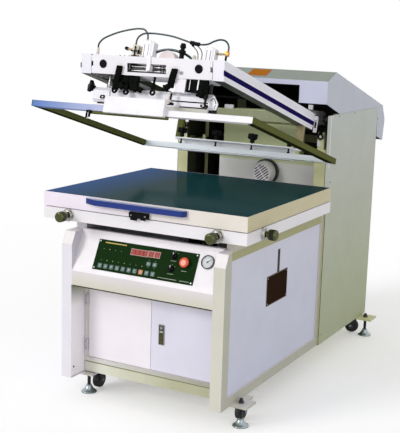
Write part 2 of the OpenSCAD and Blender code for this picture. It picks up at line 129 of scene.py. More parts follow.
def head_pose(tilt: float = 15.7, pivot_y: float = 1295.0, pivot_z: float = 1230.0) -> Pose:
    """Turns a part drawn with the head closed to where the open head carries it.

    A point at (y, z) from the pivot goes to (y cos t + z sin t, z cos t - y sin t).

    Args:
        tilt: opening angle in degrees.
        pivot_y: distance of the pivot behind the table's front edge.
        pivot_z: height of the pivot.

    Returns:
        The pose of the open head.
    """
    c, s = math.cos(math.radians(tilt)), math.sin(math.radians(tilt))
    turn = np.array([[1, 0, 0], [0, c, s], [0, -s, c]])
    pivot = np.array([0, pivot_y, pivot_z])
    return Pose(turn, pivot - turn @ pivot)


def plane_pose(origin: Point, rise: Point, carrier: Pose = Pose()) -> Pose:
    """Lays a drawing on a sloping face: X across, Y up the face, Z out of it.

    Args:
        origin: where the drawing's origin lies.
        rise: the face's direction upwards, as its y and z parts.
        carrier: the pose that carries the face itself.

    Returns:
        The pose of the drawing in the machine frame.
    """
    up = np.array([0.0, *rise]) / math.hypot(*rise)
    out = np.cross([1.0, 0.0, 0.0], up)
    turn = np.stack([[1.0, 0.0, 0.0], up, out], axis=1)
    return Pose(carrier.turn @ turn, carrier.turn @ np.asarray(origin, float) + carrier.shift)


FLOOR = Pose()
HEAD = head_pose()
CONSOLE = plane_pose((0.0, 6.0, 606.0), (86.0, 175.0))
SLOPE = plane_pose((0.0, 1007.0, 1437.0), (108.0, 41.0))
FACE = plane_pose((0.0, 35.0, 1126.0), (-21.0, 76.0), HEAD)

# Directions of the machine frame: upwards, towards the operator and to the operator's right.
UP = (0, 0, 1)
FORTH = (0, -1, 0)
RIGHT = (1, 0, 0)
SIDES = ((-1, "left"), (1, "right"))


def rounded(outline: Sequence[Point], radius: float, steps: int = 4) -> Array:
    """Rounds every corner of a closed outline.

    A corner C is cut back to A and B on its two edges, and the curve between them is
    (1 - s)^2 A + 2 s (1 - s) C + s^2 B, with s from 0 to 1.

    Args:
        outline: corner points.
        radius: how far a corner is cut back, at most 45% of its shorter edge.
        steps: straight pieces in a corner.

    Returns:
        The points of the rounded outline.
    """
    corner = np.asarray(outline, float)
    ahead = np.roll(corner, -1, 0) - corner
    length = np.linalg.norm(ahead, axis=1)
    cut = np.minimum(radius, 0.45 * np.minimum(length, np.roll(length, 1)))[:, None]
    forward = ahead / length[:, None]
    backward = -np.roll(forward, 1, 0)
    s = np.linspace(0, 1, steps + 1)[None, :, None]
    a, b = (corner + cut * backward)[:, None], (corner + cut * forward)[:, None]
    return ((1 - s) ** 2 * a + 2 * s * (1 - s) * corner[:, None] + s**2 * b).reshape(-1, 2)


def inset(outline: Array, distance: float) -> Array:
    """Moves a closed outline inwards by a distance.

    Each point goes along its mitre, the sum of its two edge normals over one plus their product.

    Args:
        outline: points of a closed outline, either way round.
        distance: how far each edge moves inwards.

    Returns:
        The moved points.
    """
    edge = np.roll(outline, -1, 0) - outline
    x, y = outline[:, 0], outline[:, 1]
    turn = np.sign(np.sum(x * np.roll(y, -1) - y * np.roll(x, -1)))
    normal = turn * np.stack([-edge[:, 1], edge[:, 0]], 1) / np.linalg.norm(edge, axis=1)[:, None]
    last = np.roll(normal, 1, 0)
    mitre = (normal + last) / (1 + np.sum(normal * last, 1, keepdims=True)).clip(0.3)
    return outline + distance * mitre


def ring_frame(axis: Array) -> tuple[Array, Array]:
    """Gives two unit vectors across an axis, so that the three make a right-handed frame.

    Args:
        axis: unit vectors, one per row, or one vector.

    Returns:
        The two vectors, shaped as the axis.
    """
    helper = np.where(np.abs(axis[..., :1]) > 0.9, [[0.0, 1.0, 0.0]], [[1.0, 0.0, 0.0]])
    u = np.cross(axis, helper.reshape(axis.shape) if axis.ndim == 1 else helper)
    u /= np.linalg.norm(u, axis=-1, keepdims=True)
    return u, np.cross(axis, u)


def spline(points: Sequence[Point], steps: int = 8) -> Array:
    """Runs a smooth curve through given points.

    Between two points it is the Catmull-Rom cubic of them and their two neighbours.

    Args:
        points: the points in order.
        steps: straight pieces between two points.

    Returns:
        The curve's points.
    """
    p = np.asarray(points, float)
    a, b, c, d = np.vstack([p[:1], p[:-2]]), p[:-1], p[1:], np.vstack([p[2:], p[-1:]])
    t = (np.arange(steps) / steps)[None, :, None]
    a, b, c, d = (q[:, None] for q in (a, b, c, d))
    curve = 2 * b + (c - a) * t + (2 * a - 5 * b + 4 * c - d) * t**2 + (3 * b - a - 3 * c + d) * t**3
    return np.vstack([0.5 * curve.reshape(-1, 3), p[-1:]])


def strip(start: Point, stop: Point, wide: float) -> Array:
    """Draws a strip between two points: half its width to each side, square to its run.

    Args:
        start: the first point.
        stop: the last point.
        wide: the strip's width.

    Returns:
        Its four corners.
    """
    a, b = np.asarray(start, float), np.asarray(stop, float)
    way = (b - a) / np.linalg.norm(b - a)
    side = np.array([-way[1], way[0]]) * wide / 2
    return np.array([a - side, b - side, b + side, a + side])


def star(size: float, lobes: int = 5, wave: float = 0.16, points: int = 60) -> Array:
    """Draws a lobed grip: its radius is size / 2 times (1 - wave + wave cos(lobes a)).

    Args:
        size: distance across the lobes.
        lobes: number of lobes.
        wave: share of the radius by which it swings.
        points: points round the outline.

    Returns:
        The outline.
    """
    a = np.linspace(0, 2 * math.pi, points, endpoint=False)
    r = size / 2 * (1 - wave + wave * np.cos(lobes * a))
    return np.stack([r * np.cos(a), r * np.sin(a)], 1)


def six_volumes(rows: Array) -> float:
    """Gives six times the volume that a grid encloses, positive where its faces look outwards.

    It is the sum of a . (b x c) over the triangles of the sides and of the two end caps.

    Args:
        rows: points of shape (rows, columns, 3).

    Returns:
        Six times the volume.
    """
    ahead = np.roll(rows, -1, 1)
    a, b, c, d = rows[:-1], ahead[:-1], ahead[1:], rows[1:]
    sides = np.sum(a * (np.cross(b, c) + np.cross(c, d)))
    first, last = (rows[i, 0] @ np.cross(rows[i], ahead[i]).sum(0) for i in (0, -1))
    return float(sides + last - first)


class Shell:
    """Collects the grids of one piece in millimetres and makes its mesh."""

    def __init__(self, pose: Pose = FLOOR) -> None:
        """Starts an empty piece.

        Args:
            pose: the pose that carries what is drawn to the machine frame.
        """
        self.pose = pose
        self.points: list[Array] = []
        self.faces: list[list[int]] = []
        self.count = 0

    def grid(self, rows: Array, closed: bool = True, caps: bool = True) -> "Shell":
        """Adds a surface whose point (i, j) is on row i and column j, turned to look outwards.

        Args:
            rows: points of shape (rows, columns, 3).
            closed: whether the last column joins the first.
            caps: whether the first and last rows are filled.

        Returns:
            This piece.
        """
        n, m = rows.shape[:2]
        i, j = np.meshgrid(np.arange(n - 1), np.arange(m if closed else m - 1), indexing="ij")
        k = (j + 1) % m
        quads = np.stack([i * m + j, i * m + k, (i + 1) * m + k, (i + 1) * m + j], -1)
        order = slice(None, None, -1 if six_volumes(rows) < 0 else 1)
        self.faces += (quads.reshape(-1, 4) + self.count)[:, order].tolist()
        if caps:
            ring = np.arange(m) + self.count
            self.faces += [ring[::-1][order].tolist(), (ring + (n - 1) * m)[order].tolist()]
        self.points.append(self.pose.place(rows.reshape(-1, 3)))
        self.count += n * m
        return self

    def prism(
        self, outline: Array, axis: Axis, start: float, stop: float, edge: float = 1.0, steps: int = 2
    ) -> "Shell":
        """Carries an outline straight along an axis, with rounded end edges.

        Near an end the outline is inset by e (1 - cos a) at e (1 - sin a) from the end, where a
        goes from 90 degrees to 0.

        Args:
            outline: points in the plane across the axis.
            axis: the axis along which it is carried.
            start: place of the first end.
            stop: place of the last end.
            edge: radius e of the end edges.
            steps: straight pieces in an end edge.

        Returns:
            This piece.
        """
        a = np.linspace(math.pi / 2, 0, steps + 1)
        depth, shrink = edge * (1 - np.sin(a)), edge * (1 - np.cos(a))
        along = np.concatenate([start + depth, (stop - depth)[::-1]])
        shrink = np.concatenate([shrink, shrink[::-1]])
        rows = np.empty((len(along), len(outline), 3))
        across = np.stack([inset(outline, float(s)) for s in shrink])
        rows[..., axis.value[0]] = along[:, None]
        rows[..., axis.value[1]] = across[..., 0]
        rows[..., axis.value[2]] = across[..., 1]
        return self.grid(rows)

    def block(
        self,
        low: Point,
        high: Point,
        edge: float = 1.0,
        corner: float | None = None,
        axis: Axis = Axis.Z,
    ) -> "Shell":
        """Adds a box with rounded edges.

        Args:
            low: its lowest corner.
            high: its highest corner.
            edge: radius of the end edges.
            corner: radius of the edges along the axis, as the end edges where none is given.
            axis: the axis along which it is drawn.

        Returns:
            This piece.
        """
        n, p, q = axis.value
        outline = [[low[p], low[q]], [high[p], low[q]], [high[p], high[q]], [low[p], high[q]]]
        shape = rounded(outline, edge if corner is None else corner, 3)
        return self.prism(shape, axis, low[n], high[n], edge)

    def bar(
        self, start: Point, stop: Point, wide: float, low: float, high: float
    ) -> "Shell":
        """Adds a straight flat mark between two points of the drawing plane.

        Args:
            start: x and y of the first end.
            stop: x and y of the last end.
            wide: its width.
            low: its lower face along Z.
            high: its upper face along Z.

        Returns:
            This piece.
        """
        outline = rounded(strip(start, stop, wide), wide * 0.2, 1)
        return self.prism(outline, Axis.Z, low, high, (high - low) * 0.3, 1)

    def slit(
        self,
        middle: Point,
        start: Point,
        stop: Point,
        wide: float,
        low: float,
        high: float,
    ) -> "Shell":
        """Adds a flat mark on a face that looks along Y.

        Args:
            middle: x and z that the ends are measured from.
            start: x and z of the first end.
            stop: x and z of the last end.
            wide: its width.
            low: its front face along Y.
            high: its rear face along Y.

        Returns:
            This piece.
        """
        outline = strip(np.asarray(middle) + start, np.asarray(middle) + stop, wide)
        return self.prism(rounded(outline, wide * 0.4, 3), Axis.Y, low, high, (high - low) * 0.3, 1)

    def lathe(
        self,
        profile: Sequence[Point],
        foot: Point,
        axis: Point,
        sides: int = 40,
        ring: bool = False,
    ) -> "Shell":
        """Turns a profile about an axis.

        The point for radius r, height t and angle a is foot + t axis + r (u cos a + v sin a).

        Args:
            profile: pairs of radius and height.
            foot: where height 0 is.
            axis: the direction of the heights.
            sides: points round the axis.
            ring: whether the profile's end joins its start, so that the middle stays open.

        Returns:
            This piece.
        """
        shape = np.asarray([*profile, profile[0]] if ring else profile, float)
        way = np.asarray(axis, float) / np.linalg.norm(axis)
        u, v = ring_frame(way)
        a = np.linspace(0, 2 * math.pi, sides, endpoint=False)[None, :, None]
        r, t = shape[:, :1, None], shape[:, 1:, None]
        rows = np.asarray(foot, float) + t * way + r * (np.cos(a) * u + np.sin(a) * v)
        return self.grid(rows, caps=not ring)

    def rod(
        self, start: Point, stop: Point, radius: float, edge: float = 0.6
    ) -> "Shell":
        """Adds a round bar with chamfered ends between two points.

        Args:
            start: middle of the first end.
            stop: middle of the last end.
            radius: the bar's radius.
            edge: size of the chamfer.

        Returns:
            This piece.
        """
        way = np.asarray(stop, float) - np.asarray(start, float)
        long = float(np.linalg.norm(way))
        profile = [[radius - edge, 0], [radius, edge], [radius, long - edge], [radius - edge, long]]
        return self.lathe(profile, start, way, 32)

    def tube(
        self,
        path: Array,
        radius: float,
        sides: int = 14,
        ends: tuple[Point, Point] | None = None,
    ) -> "Shell":
        """Carries a circle along a path, square to it at each point.

        Args:
            path: the points of the middle line.
            radius: the circle's radius.
            sides: points round the circle.
            ends: directions at the first and last point, as the path's own where none are given.

        Returns:
            This piece.
        """
        way = np.gradient(path, axis=0)
        if ends:
            way[0], way[-1] = ends
        way /= np.linalg.norm(way, axis=1, keepdims=True)
        side = np.cross(way, [0.0, 1.0, 0.0])
        side /= np.linalg.norm(side, axis=1, keepdims=True)
        over = np.cross(way, side)
        a = np.linspace(0, 2 * math.pi, sides, endpoint=False)[None, :, None]
        rows = path[:, None] + radius * (np.cos(a) * side[:, None] + np.sin(a) * over[:, None])
        return self.grid(rows)

    def screw(self, centre: Point, axis: Point, size: float) -> "Shell":
        """Adds a domed screw head with a hexagon socket drawn as a sunk ring.

        Args:
            centre: middle of the seat.
            axis: direction in which the head stands out.
            size: diameter of the head.

        Returns:
            This piece.
        """
        r, h = size / 2, size * 0.3
        profile = [[r, 0], [r, h * 0.5], [r * 0.8, h], [r * 0.45, h], [r * 0.38, h * 0.3]]
        return self.lathe(profile, centre, axis, 16)

    def piece(
        self, name: str, body: str, finish: "Finish", *nodes: str, sharp: float = 38
    ) -> Thing:
        """Makes the object, rides it on its body and gives it its finish.

        Args:
            name: the object's name.
            body: the CAD body that carries it.
            finish: what its surface is made of.
            nodes: CAD nodes that it stands for.
            sharp: edges over this many degrees stay sharp.

        Returns:
            The object.
        """
        mesh = bpy.data.meshes.new(name)
        placed = MACHINE.place(np.concatenate(self.points)) * MM
        mesh.from_pydata(placed.tolist(), [], self.faces)
        return dress_mesh(mesh, name, body, finish, nodes, sharp)


def dress_mesh(
    mesh: bpy.types.Mesh, name: str, body: str, finish: "Finish", nodes: Sequence[str], sharp: float
) -> Thing:
    """Closes a mesh's seams, smooths it, rides the object on its body and hides the CAD nodes that it
    stands for.

    Args:
        mesh: the new mesh in metres.
        name: the object's name.
        body: the CAD body that carries it.
        finish: what its surface is made of.
        nodes: CAD nodes that it stands for.
        sharp: edges over this many degrees stay sharp.

    Returns:
        The object.
    """
    work = bmesh.new()
    work.from_mesh(mesh)
    bmesh.ops.remove_doubles(work, verts=work.verts, dist=MERGE)
    for face in work.faces:
        face.smooth = True
    work.to_mesh(mesh)
    work.free()
    mesh.set_sharp_from_angle(angle=math.radians(sharp))
    thing = bpy.data.objects.new(name, mesh)
    bpy.context.scene.collection.objects.link(thing)
    weigh = thing.modifiers.new("even_shading", "WEIGHTED_NORMAL")
    weigh.keep_sharp = True
    mesh.materials.append(finish.material())
    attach(thing, body)
    if nodes:
        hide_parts(*nodes)
    LOG.info("%s rides on %s: %d faces", name, body, len(mesh.polygons))
    return thing


def softened(
    node: str, finish: "Finish", edge: float = 1.2, steps: int = 2, hard_from: float = 40
) -> Thing:
    """Stands a copy of a CAD node in its place, with every edge rounded.

    The copy's doubles are merged and its flat faces joined first, so that the rounding runs
    along whole edges.

    Args:
        node: the CAD node.
        finish: what its surface is made of.
        edge: radius of the rounding in millimetres.
        steps: straight pieces in the rounding.
        hard_from: edges that turn by more than this many degrees are rounded.

    Returns:
        The new object.
    """
    source = frame["nodes"][node]
    work = bmesh.new()
    work.from_mesh(source.data)
    bmesh.ops.remove_doubles(work, verts=work.verts, dist=MERGE)
    bmesh.ops.dissolve_limit(
        work, angle_limit=math.radians(FLAT), verts=work.verts, edges=work.edges
    )
    hard = [e for e in work.edges if e.is_manifold and e.calc_face_angle(0) > math.radians(hard_from)]
    bmesh.ops.bevel(
        work, geom=hard, offset=edge * MM, segments=steps, profile=0.5, affect="EDGES",
        clamp_overlap=True,
    )
    mesh = bpy.data.meshes.new(node + "_finished")
    work.to_mesh(mesh)
    work.free()
    return dress_mesh(mesh, node + "_finished", source["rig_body"], finish, [node], 50)


class Nodes:
    """Adds linked nodes to one node tree."""

    def __init__(self, tree: bpy.types.NodeTree) -> None:
        """Empties the tree.

        Args:
            tree: the tree that gets the nodes.
        """
        self.tree = tree
        tree.nodes.clear()

    def feed(self, socket: Socket, value: object) -> None:
        """Links an output to a socket, or sets the socket's own value.

        Args:
            socket: an input socket.
            value: an output socket, a number, a vector or a colour.
        """
        if isinstance(value, Socket):
            self.tree.links.new(value, socket)
        else:
            socket.default_value = (*value, 1.0) if socket.type == "RGBA" else value

    def fill(self, node: bpy.types.Node, **values: object) -> bpy.types.Node:
        """Feeds a node's inputs; an underscore in a name stands for a space.

        Args:
            node: the node.
            values: input names and what they get.

        Returns:
            The node.
        """
        for key, value in values.items():
            self.feed(node.inputs[key.replace("_", " ")], value)
        return node

    def add(self, kind: str, **values: object) -> bpy.types.Node:
        """Adds a node of a kind and feeds its inputs as fill does."""
        return self.fill(self.tree.nodes.new(kind), **values)

    def math(self, operation: str, *values: object) -> Socket:
        """Works out one operation.

        Args:
            operation: the operation's name.
            values: numbers or outputs that it takes.

        Returns:
            The result.
        """
        node = self.add("ShaderNodeMath")
        node.operation = operation
        for socket, value in zip(node.inputs, values):
            self.feed(socket, value)
        return node.outputs[0]

    def spread(
        self, value: Socket, low: float, high: float, start: float = 0.3, stop: float = 0.7
    ) -> Socket:
        """Maps a value's range start to stop onto low to high, held at its ends.

        Args:
            value: what is mapped.
            low: result at start.
            high: result at stop.
            start: value that gives low.
            stop: value that gives high.

        Returns:
            The mapped value.
        """
        ends = {"From_Min": start, "From_Max": stop, "To_Min": low, "To_Max": high}
        return self.add("ShaderNodeMapRange", Value=value, **ends).outputs["Result"]

    def mix(self, share: object, first: object, second: object) -> Socket:
        """Mixes two colours.

        Args:
            share: part of the second, from 0 to 1.
            first: a colour or an output.
            second: a colour or an output.

        Returns:
            The mixed colour.
        """
        node = self.add("ShaderNodeMix")
        node.data_type = "RGBA"
        for place, value in ((0, share), (6, first), (7, second)):
            self.feed(node.inputs[place], value)
        return node.outputs[2]


class Graph(Nodes):
    """Builds one material's nodes around a Principled shader."""

    def __init__(self, name: str) -> None:
        """Starts an empty material.

        Args:
            name: the material's name.
        """
        self.made = bpy.data.materials.new(name)
        self.made.use_nodes = True
        super().__init__(self.made.node_tree)
        self.shader = self.add("ShaderNodeBsdfPrincipled")
        self.add("ShaderNodeOutputMaterial", Surface=self.shader.outputs[0])
        place = self.add("ShaderNodeTexCoord")
        self.where, self.normal = place.outputs["Object"], place.outputs["Normal"]

    def noise(
        self, scale: float, detail: float = 3.0, stretch: Colour = (1.0, 1.0, 1.0)
    ) -> Socket:
        """Reads noise on the piece.

        Args:
            scale: patches per metre.
            detail: octaves of the noise.
            stretch: factors on x, y and z.

        Returns:
            A value from 0 to 1.
        """
        place = self.add("ShaderNodeMapping", Scale=stretch, Vector=self.where).outputs[0]
        node = self.add("ShaderNodeTexNoise", Scale=scale, Detail=detail, Vector=place)
        return node.outputs["Fac"]

    def part(self, vector: Socket, axis: Axis) -> Socket:
        """Takes a vector's part along an axis."""
        return self.add("ShaderNodeSeparateXYZ", Vector=vector).outputs[axis.value[0]]

    def along(self, axis: Axis, start: float, stop: float) -> Socket:
        """Rises from 0 to 1 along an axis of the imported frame.

        Args:
            axis: the axis.
            start: place of 0, in metres.
            stop: place of 1, in metres.

        Returns:
            The rising value.
        """
        return self.spread(self.part(self.where, axis), 0.0, 1.0, start, stop)

    def facing(self, axis: Axis, both: bool, start: float = 0.45, stop: float = 0.7) -> Socket:
        """Tells where the surface faces along an axis, by its normal's part on that axis.

        Args:
            axis: the axis.
            both: whether a surface that faces against the axis counts too.
            start: part of the normal that gives 0.
            stop: part of the normal that gives 1.

        Returns:
            The share, from 0 to 1.
        """
        part = self.part(self.normal, axis)
        return self.spread(self.math("ABSOLUTE", part) if both else part, 0.0, 1.0, start, stop)

    def inward(self) -> Socket:
        """Tells where the surface looks at the middle plane: there x times its normal's x is negative.

        Returns:
            The share, from 0 to 1.
        """
        place, face = (self.part(vector, Axis.X) for vector in (self.where, self.normal))
        return self.spread(self.math("MULTIPLY", place, face), 0.0, 1.0, -0.05, -0.12)

    def bump(self, height: Socket, depth: float) -> None:
        """Gives the surface small relief.

        Args:
            height: the relief, from 0 to 1.
            depth: metres between 0 and 1.
        """
        node = self.add("ShaderNodeBump", Strength=1.0, Distance=depth, Height=height)
        self.set(Normal=node.outputs[0])

    def set(self, **values: object) -> None:
        """Feeds the shader's inputs as fill does."""
        self.fill(self.shader, **values)


@dataclass(frozen=True)
class Finish:
    """A surface with slow colour drift, uneven gloss and fine relief.

    Its colour may fade into a second one along an axis, and may differ on faces that look
    sideways, up, down, forwards or towards the machine's middle; these differences by facing are
    painted light and shade.
    """

    slot: str
    colour: Colour
    rough: float = 0.4
    metallic: float = 0.0
    drift: float = 0.06
    grain: float = 900.0
    relief: float = 0.00002
    stretch: Colour = (1.0, 1.0, 1.0)
    coat: float = 0.0
    shine: float = 0.5
    side: Colour | None = None
    side_fade: Colour | None = None
    top: Colour | None = None
    under: Colour | None = None
    under_fade: Colour | None = None
    inner: Colour | None = None
    front: Colour | None = None
    fade: Colour | None = None
    run: tuple[Axis, float, float] = (Axis.Z, 0.0, 1.0)

    def material(self) -> bpy.types.Material:
        """Builds the material once and gives it again after that.

        Returns:
            The material.
        """
        name = self.name()
        found = bpy.data.materials.get(name)
        if found:
            return found
        graph = Graph(name)
        self.paint(graph)
        return graph.made

    def name(self) -> str:
        """Names the material after its slot and colour."""
        return "{}_{:02x}{:02x}{:02x}".format(self.slot, *(int(255 * c) for c in self.colour))

    def paint(self, graph: Graph) -> None:
        """Fills the graph.

        Args:
            graph: the material's nodes.
        """
        gloss = graph.noise(30.0, 4.0, self.stretch)
        graph.set(
            Base_Color=self.tone(graph),
            Metallic=self.metallic,
            Coat_Weight=self.coat,
            Coat_Roughness=0.12,
            Roughness=graph.spread(gloss, self.rough * 0.85, min(1.0, self.rough * 1.2)),
            Specular_IOR_Level=self.shine,
        )
        graph.bump(graph.noise(self.grain, 2.0, self.stretch), self.relief)

    def faded(self, graph: Graph, near: Colour, far: Colour | None) -> object:
        """Fades a colour along the finish's run.

        Args:
            graph: the material's nodes.
            near: the colour where the run starts.
            far: the colour where it ends, if any.

        Returns:
            The faded colour, or the first one where there is no second.
        """
        return graph.mix(graph.along(*self.run), near, far) if far else near

    def tone(self, graph: Graph) -> Socket:
        """Lays the painted light and shade of the faces over the faded main one, with soft darker patches.

        Args:
            graph: the material's nodes.

        Returns:
            The colour.
        """
        facing = graph.facing
        tone = self.faded(graph, self.colour, self.fade)
        for colour, far, share, where in (
            (self.side, self.side_fade, facing, (Axis.X, True)),
            (self.top, None, facing, (Axis.Z, False, 0.3, 0.4)),
            (self.under, self.under_fade, facing, (Axis.Z, False, -0.5, -0.8)),
            (self.inner, None, graph.inward, ()),
            (self.front, None, facing, (Axis.Y, False, -0.5, -0.8)),
        ):
            if colour:
                tone = graph.mix(share(*where), tone, self.faded(graph, colour, far))
        patches = graph.spread(graph.noise(7.0, 5.0, self.stretch), 0.0, self.drift)
        return graph.mix(patches, tone, (0.0, 0.0, 0.0))


WHITE = Finish(
    "white_paint", (0.93, 0.88, 0.93), 0.4, fade=(0.78, 0.76, 0.88), run=(Axis.X, -0.02, -0.014),
)
# Painted light and shade on the cabinet frame: side faces on the left leg nearly white, side faces further
# right darker olive, top faces a pinker tint and faces towards the machine's middle darker. The main
# colour runs from lavender-white on the left leg to beige from there rightwards.
FRAME = Finish(
    "white_paint", (0.84, 0.81, 0.88), 0.42, fade=(0.68, 0.66, 0.57), run=(Axis.X, -0.369, -0.35),
    side=(0.98, 0.96, 1.0), side_fade=(0.56, 0.55, 0.46), top=(0.86, 0.82, 0.82),
    inner=(0.62, 0.6, 0.66),
)
# Painted shade at the cabinet's foot: a dark olive line under the sill, and the lower rail's face and the
# sill turning darker and olive towards the right.
RAIL_SHADOW_LINE = Finish("white_paint", (0.2, 0.2, 0.09), 0.5)
RAIL_FACE_SHADE = Finish(
    "white_paint", (0.78, 0.78, 0.66), 0.45, fade=(0.5, 0.5, 0.33), run=(Axis.X, -0.3, 0.1),
)
RAIL_LEDGE_SHADE = Finish(
    "white_paint", (0.72, 0.7, 0.68), 0.45, fade=(0.42, 0.42, 0.34), run=(Axis.X, -0.3, 0.2),
)
# Painted shade on the left leg's inner side: pale low down, dark olive towards the console above.
LEG_INSIDE_SHADE = Finish(
    "white_paint", (1.0, 0.96, 1.0), 0.45, fade=(0.3, 0.32, 0.22), run=(Axis.Z, 0.44, 0.53),
)
# Painted shadow of the table on the face of the cabinet's upper right rail.
UPPER_RAIL_SHADOW = Finish("white_paint", (0.42, 0.41, 0.2), 0.5)
# Top faces of the console are painted lighter: painted light. The colour also turns darker and olive
# towards the bottom.
CONSOLE_PAINT = Finish(
    "white_paint", (0.82, 0.77, 0.82), 0.38, fade=(0.7, 0.67, 0.57), run=(Axis.Z, 0.62, 0.55),
    top=(0.88, 0.84, 0.87),
)
BED = Finish("white_paint", (0.92, 0.89, 0.92), 0.35)
# Faces of the tower frame towards the machine's middle are painted near black: painted shade inside the
# tower.
INNER = Finish("white_paint", (0.74, 0.74, 0.42), 0.5, inner=(0.035, 0.04, 0.018))
PANEL = Finish(
    "panel_paint", (0.72, 0.73, 0.84), 0.4, fade=(0.71, 0.73, 0.88), run=(Axis.Z, 0.75, 0.15),
    shine=0.2,
)
# Faces of the tower skin towards the machine's middle and faces to the front are painted near black:
# painted shade inside the tower. The colour also turns darker and olive towards the bottom.
TOWER = Finish(
    "tower_paint", (0.56, 0.59, 0.55), 0.4, fade=(0.48, 0.52, 0.34), run=(Axis.Z, 1.25, 0.2), shine=0.2,
    inner=(0.04, 0.046, 0.026), front=(0.04, 0.04, 0.028),
)
STRUT = Finish("tower_paint", (0.38, 0.4, 0.2), 0.5)
# Painted light and shade on the hood's one paint: top faces dark green-grey, side faces greyer, faces
# towards the middle and downward faces near black.
HOOD = Finish(
    "hood_paint", (0.62, 0.63, 0.78), 0.4, top=(0.27, 0.31, 0.27), side=(0.58, 0.6, 0.68), shine=0.2,
    inner=(0.012, 0.014, 0.01), under=(0.02, 0.022, 0.014),
)
# Painted shade: the drive housing turns olive above a height of about one metre and stays white below.
HOUSING = Finish(
    "housing_paint", (1.0, 1.0, 0.98), 0.5, fade=(0.66, 0.72, 0.4), run=(Axis.Z, 1.0, 1.012),
)
# Painted shade on the member between the arms.
CROSS_TUBE_SHADE = Finish("housing_paint", (0.25, 0.275, 0.14), 0.5)
# Downward faces and faces towards the machine's middle are painted near black: painted shade under and
# inside the arms.
ARM = Finish(
    "arm_paint", (0.95, 0.93, 1.0), 0.35, under=(0.05, 0.06, 0.035), inner=(0.02, 0.026, 0.014),
    shine=0.08,
)
STRIPE = Finish("arm_paint", (0.015, 0.01, 0.1), 0.5, shine=0.0)
# Side faces of the table slab are painted darker olive: painted shade. The colour runs from pinkish white
# on the left to ivory on the right.
EDGE = Finish(
    "edge_paint", (0.95, 0.87, 0.97), 0.35, fade=(0.86, 0.8, 0.72), run=(Axis.X, -0.3, 0.3),
    side=(0.66, 0.59, 0.36),
)
GLASS = Finish(
    "table_glass", (0.016, 0.1, 0.33), 0.2, fade=(0.013, 0.06, 0.066), run=(Axis.X, -0.52, -0.2),
    shine=0.0, coat=0.12,
)
PLATE = Finish("plate_print", (0.03, 0.016, 0.01), 0.5, shine=0.0)
ORANGE = Finish("plate_print", (0.46, 0.16, 0.018), 0.5, shine=0.0)
PLATE_RIM = Finish("plate_print", (0.12, 0.07, 0.045), 0.3)
LABEL_RIM = Finish("plate_print", (0.3, 0.07, 0.02), 0.35)
# Painted shade inside the slot on the cabinet's right side.
SLOT_SHADE = Finish("plate_print", (0.05, 0.042, 0.03), 0.5, shine=0.1)
CONSOLE_PLATE = Finish("console_plate", (0.012, 0.034, 0.01), 0.5, shine=0.0)
HEADING = Finish("console_plate", (0.5, 0.4, 0.06), 0.5)
TICKS = Finish("console_plate", (0.45, 0.5, 0.42), 0.5)
DISPLAY = Finish("display", (0.28, 0.02, 0.012), 0.3, shine=0.1)
DIGIT = Finish("display", (0.62, 0.12, 0.07), 0.4)
WINDOW_RIM = Finish("display", (0.55, 0.33, 0.3), 0.4)
KEYS = Finish("key_caps", (0.05, 0.115, 0.1), 0.4)
ORANGE_KEY = Finish("key_caps", (0.6, 0.2, 0.04), 0.35)
LAMP = Finish("key_caps", (0.5, 0.55, 0.2), 0.25)
DIM_LAMP = Finish("key_caps", (0.16, 0.26, 0.14), 0.3)
KEY_MARK = Finish("key_caps", (0.55, 0.62, 0.62), 0.4)
BLACK = Finish("black_plastic", (0.004, 0.004, 0.005), 0.5, shine=0.08)
# Painted shadow: a dark strip under the console's lip.
LIP_SHADOW = Finish("black_plastic", (0.05, 0.055, 0.02), 0.5, shine=0.1)
SELECTOR_LINE = Finish("black_plastic", (0.8, 0.8, 0.78), 0.4)
RED = Finish("stop_red", (0.75, 0.09, 0.02), 0.3, coat=0.4)
BEZEL = Finish("gauge_metal", (0.13, 0.135, 0.12), 0.2, metallic=1.0)
DIAL = Finish("gauge_metal", (0.62, 0.65, 0.68), 0.4)
NEEDLE = Finish("needle_black", (0.01, 0.01, 0.012), 0.4)
STEEL = Finish("steel", (0.42, 0.42, 0.44), 0.35, metallic=1.0, stretch=(1.0, 1.0, 12.0))
FLANGE = Finish("steel", (0.5, 0.49, 0.46), 0.2, metallic=1.0)
CHROME = Finish("foot_chrome", (0.36, 0.42, 0.44), 0.22, metallic=0.95)
CASTOR = Finish("castor_steel", (0.03, 0.034, 0.04), 0.4)
FOOT_ROD = Finish("castor_steel", (0.06, 0.06, 0.065), 0.35, metallic=0.7)
FOOT_NUT = Finish("castor_steel", (0.1, 0.1, 0.1), 0.3, metallic=0.8)
TYRE = Finish("wheel_rubber", (0.015, 0.015, 0.017), 0.6)
HUB = Finish("wheel_rubber", (0.12, 0.12, 0.12), 0.4)
# The dark olive tint of the polished adjusters is a painted reflection of their shaded surroundings.
KNOB = Finish("knob_metal", (0.1, 0.115, 0.045), 0.16, metallic=0.85)
RIBS = Finish("knob_metal", (0.02, 0.024, 0.01), 0.3, metallic=0.5)
# Top faces of the start bar are painted a lighter blue: painted highlight.
BLUE = Finish("bar_blue", (0.012, 0.035, 0.22), 0.35, top=(0.2, 0.26, 0.5), shine=0.3)
MOTOR = Finish("motor_grey", (0.82, 0.82, 0.8), 0.4)
DARK = Finish("motor_grey", (0.02, 0.022, 0.024), 0.5)
ALLOY = Finish("frame_alloy", (0.9, 0.96, 1.0), 0.4, shine=0.2)
# Painted shade: the screen frame's alloy where it lies in shade, downward faces near black; it also
# colours the left hanger and the front clamp's lower jaw.
SHADE_OLIVE = Finish("frame_alloy", (0.13, 0.14, 0.045), 0.5, shine=0.0, under=(0.02, 0.026, 0.008))
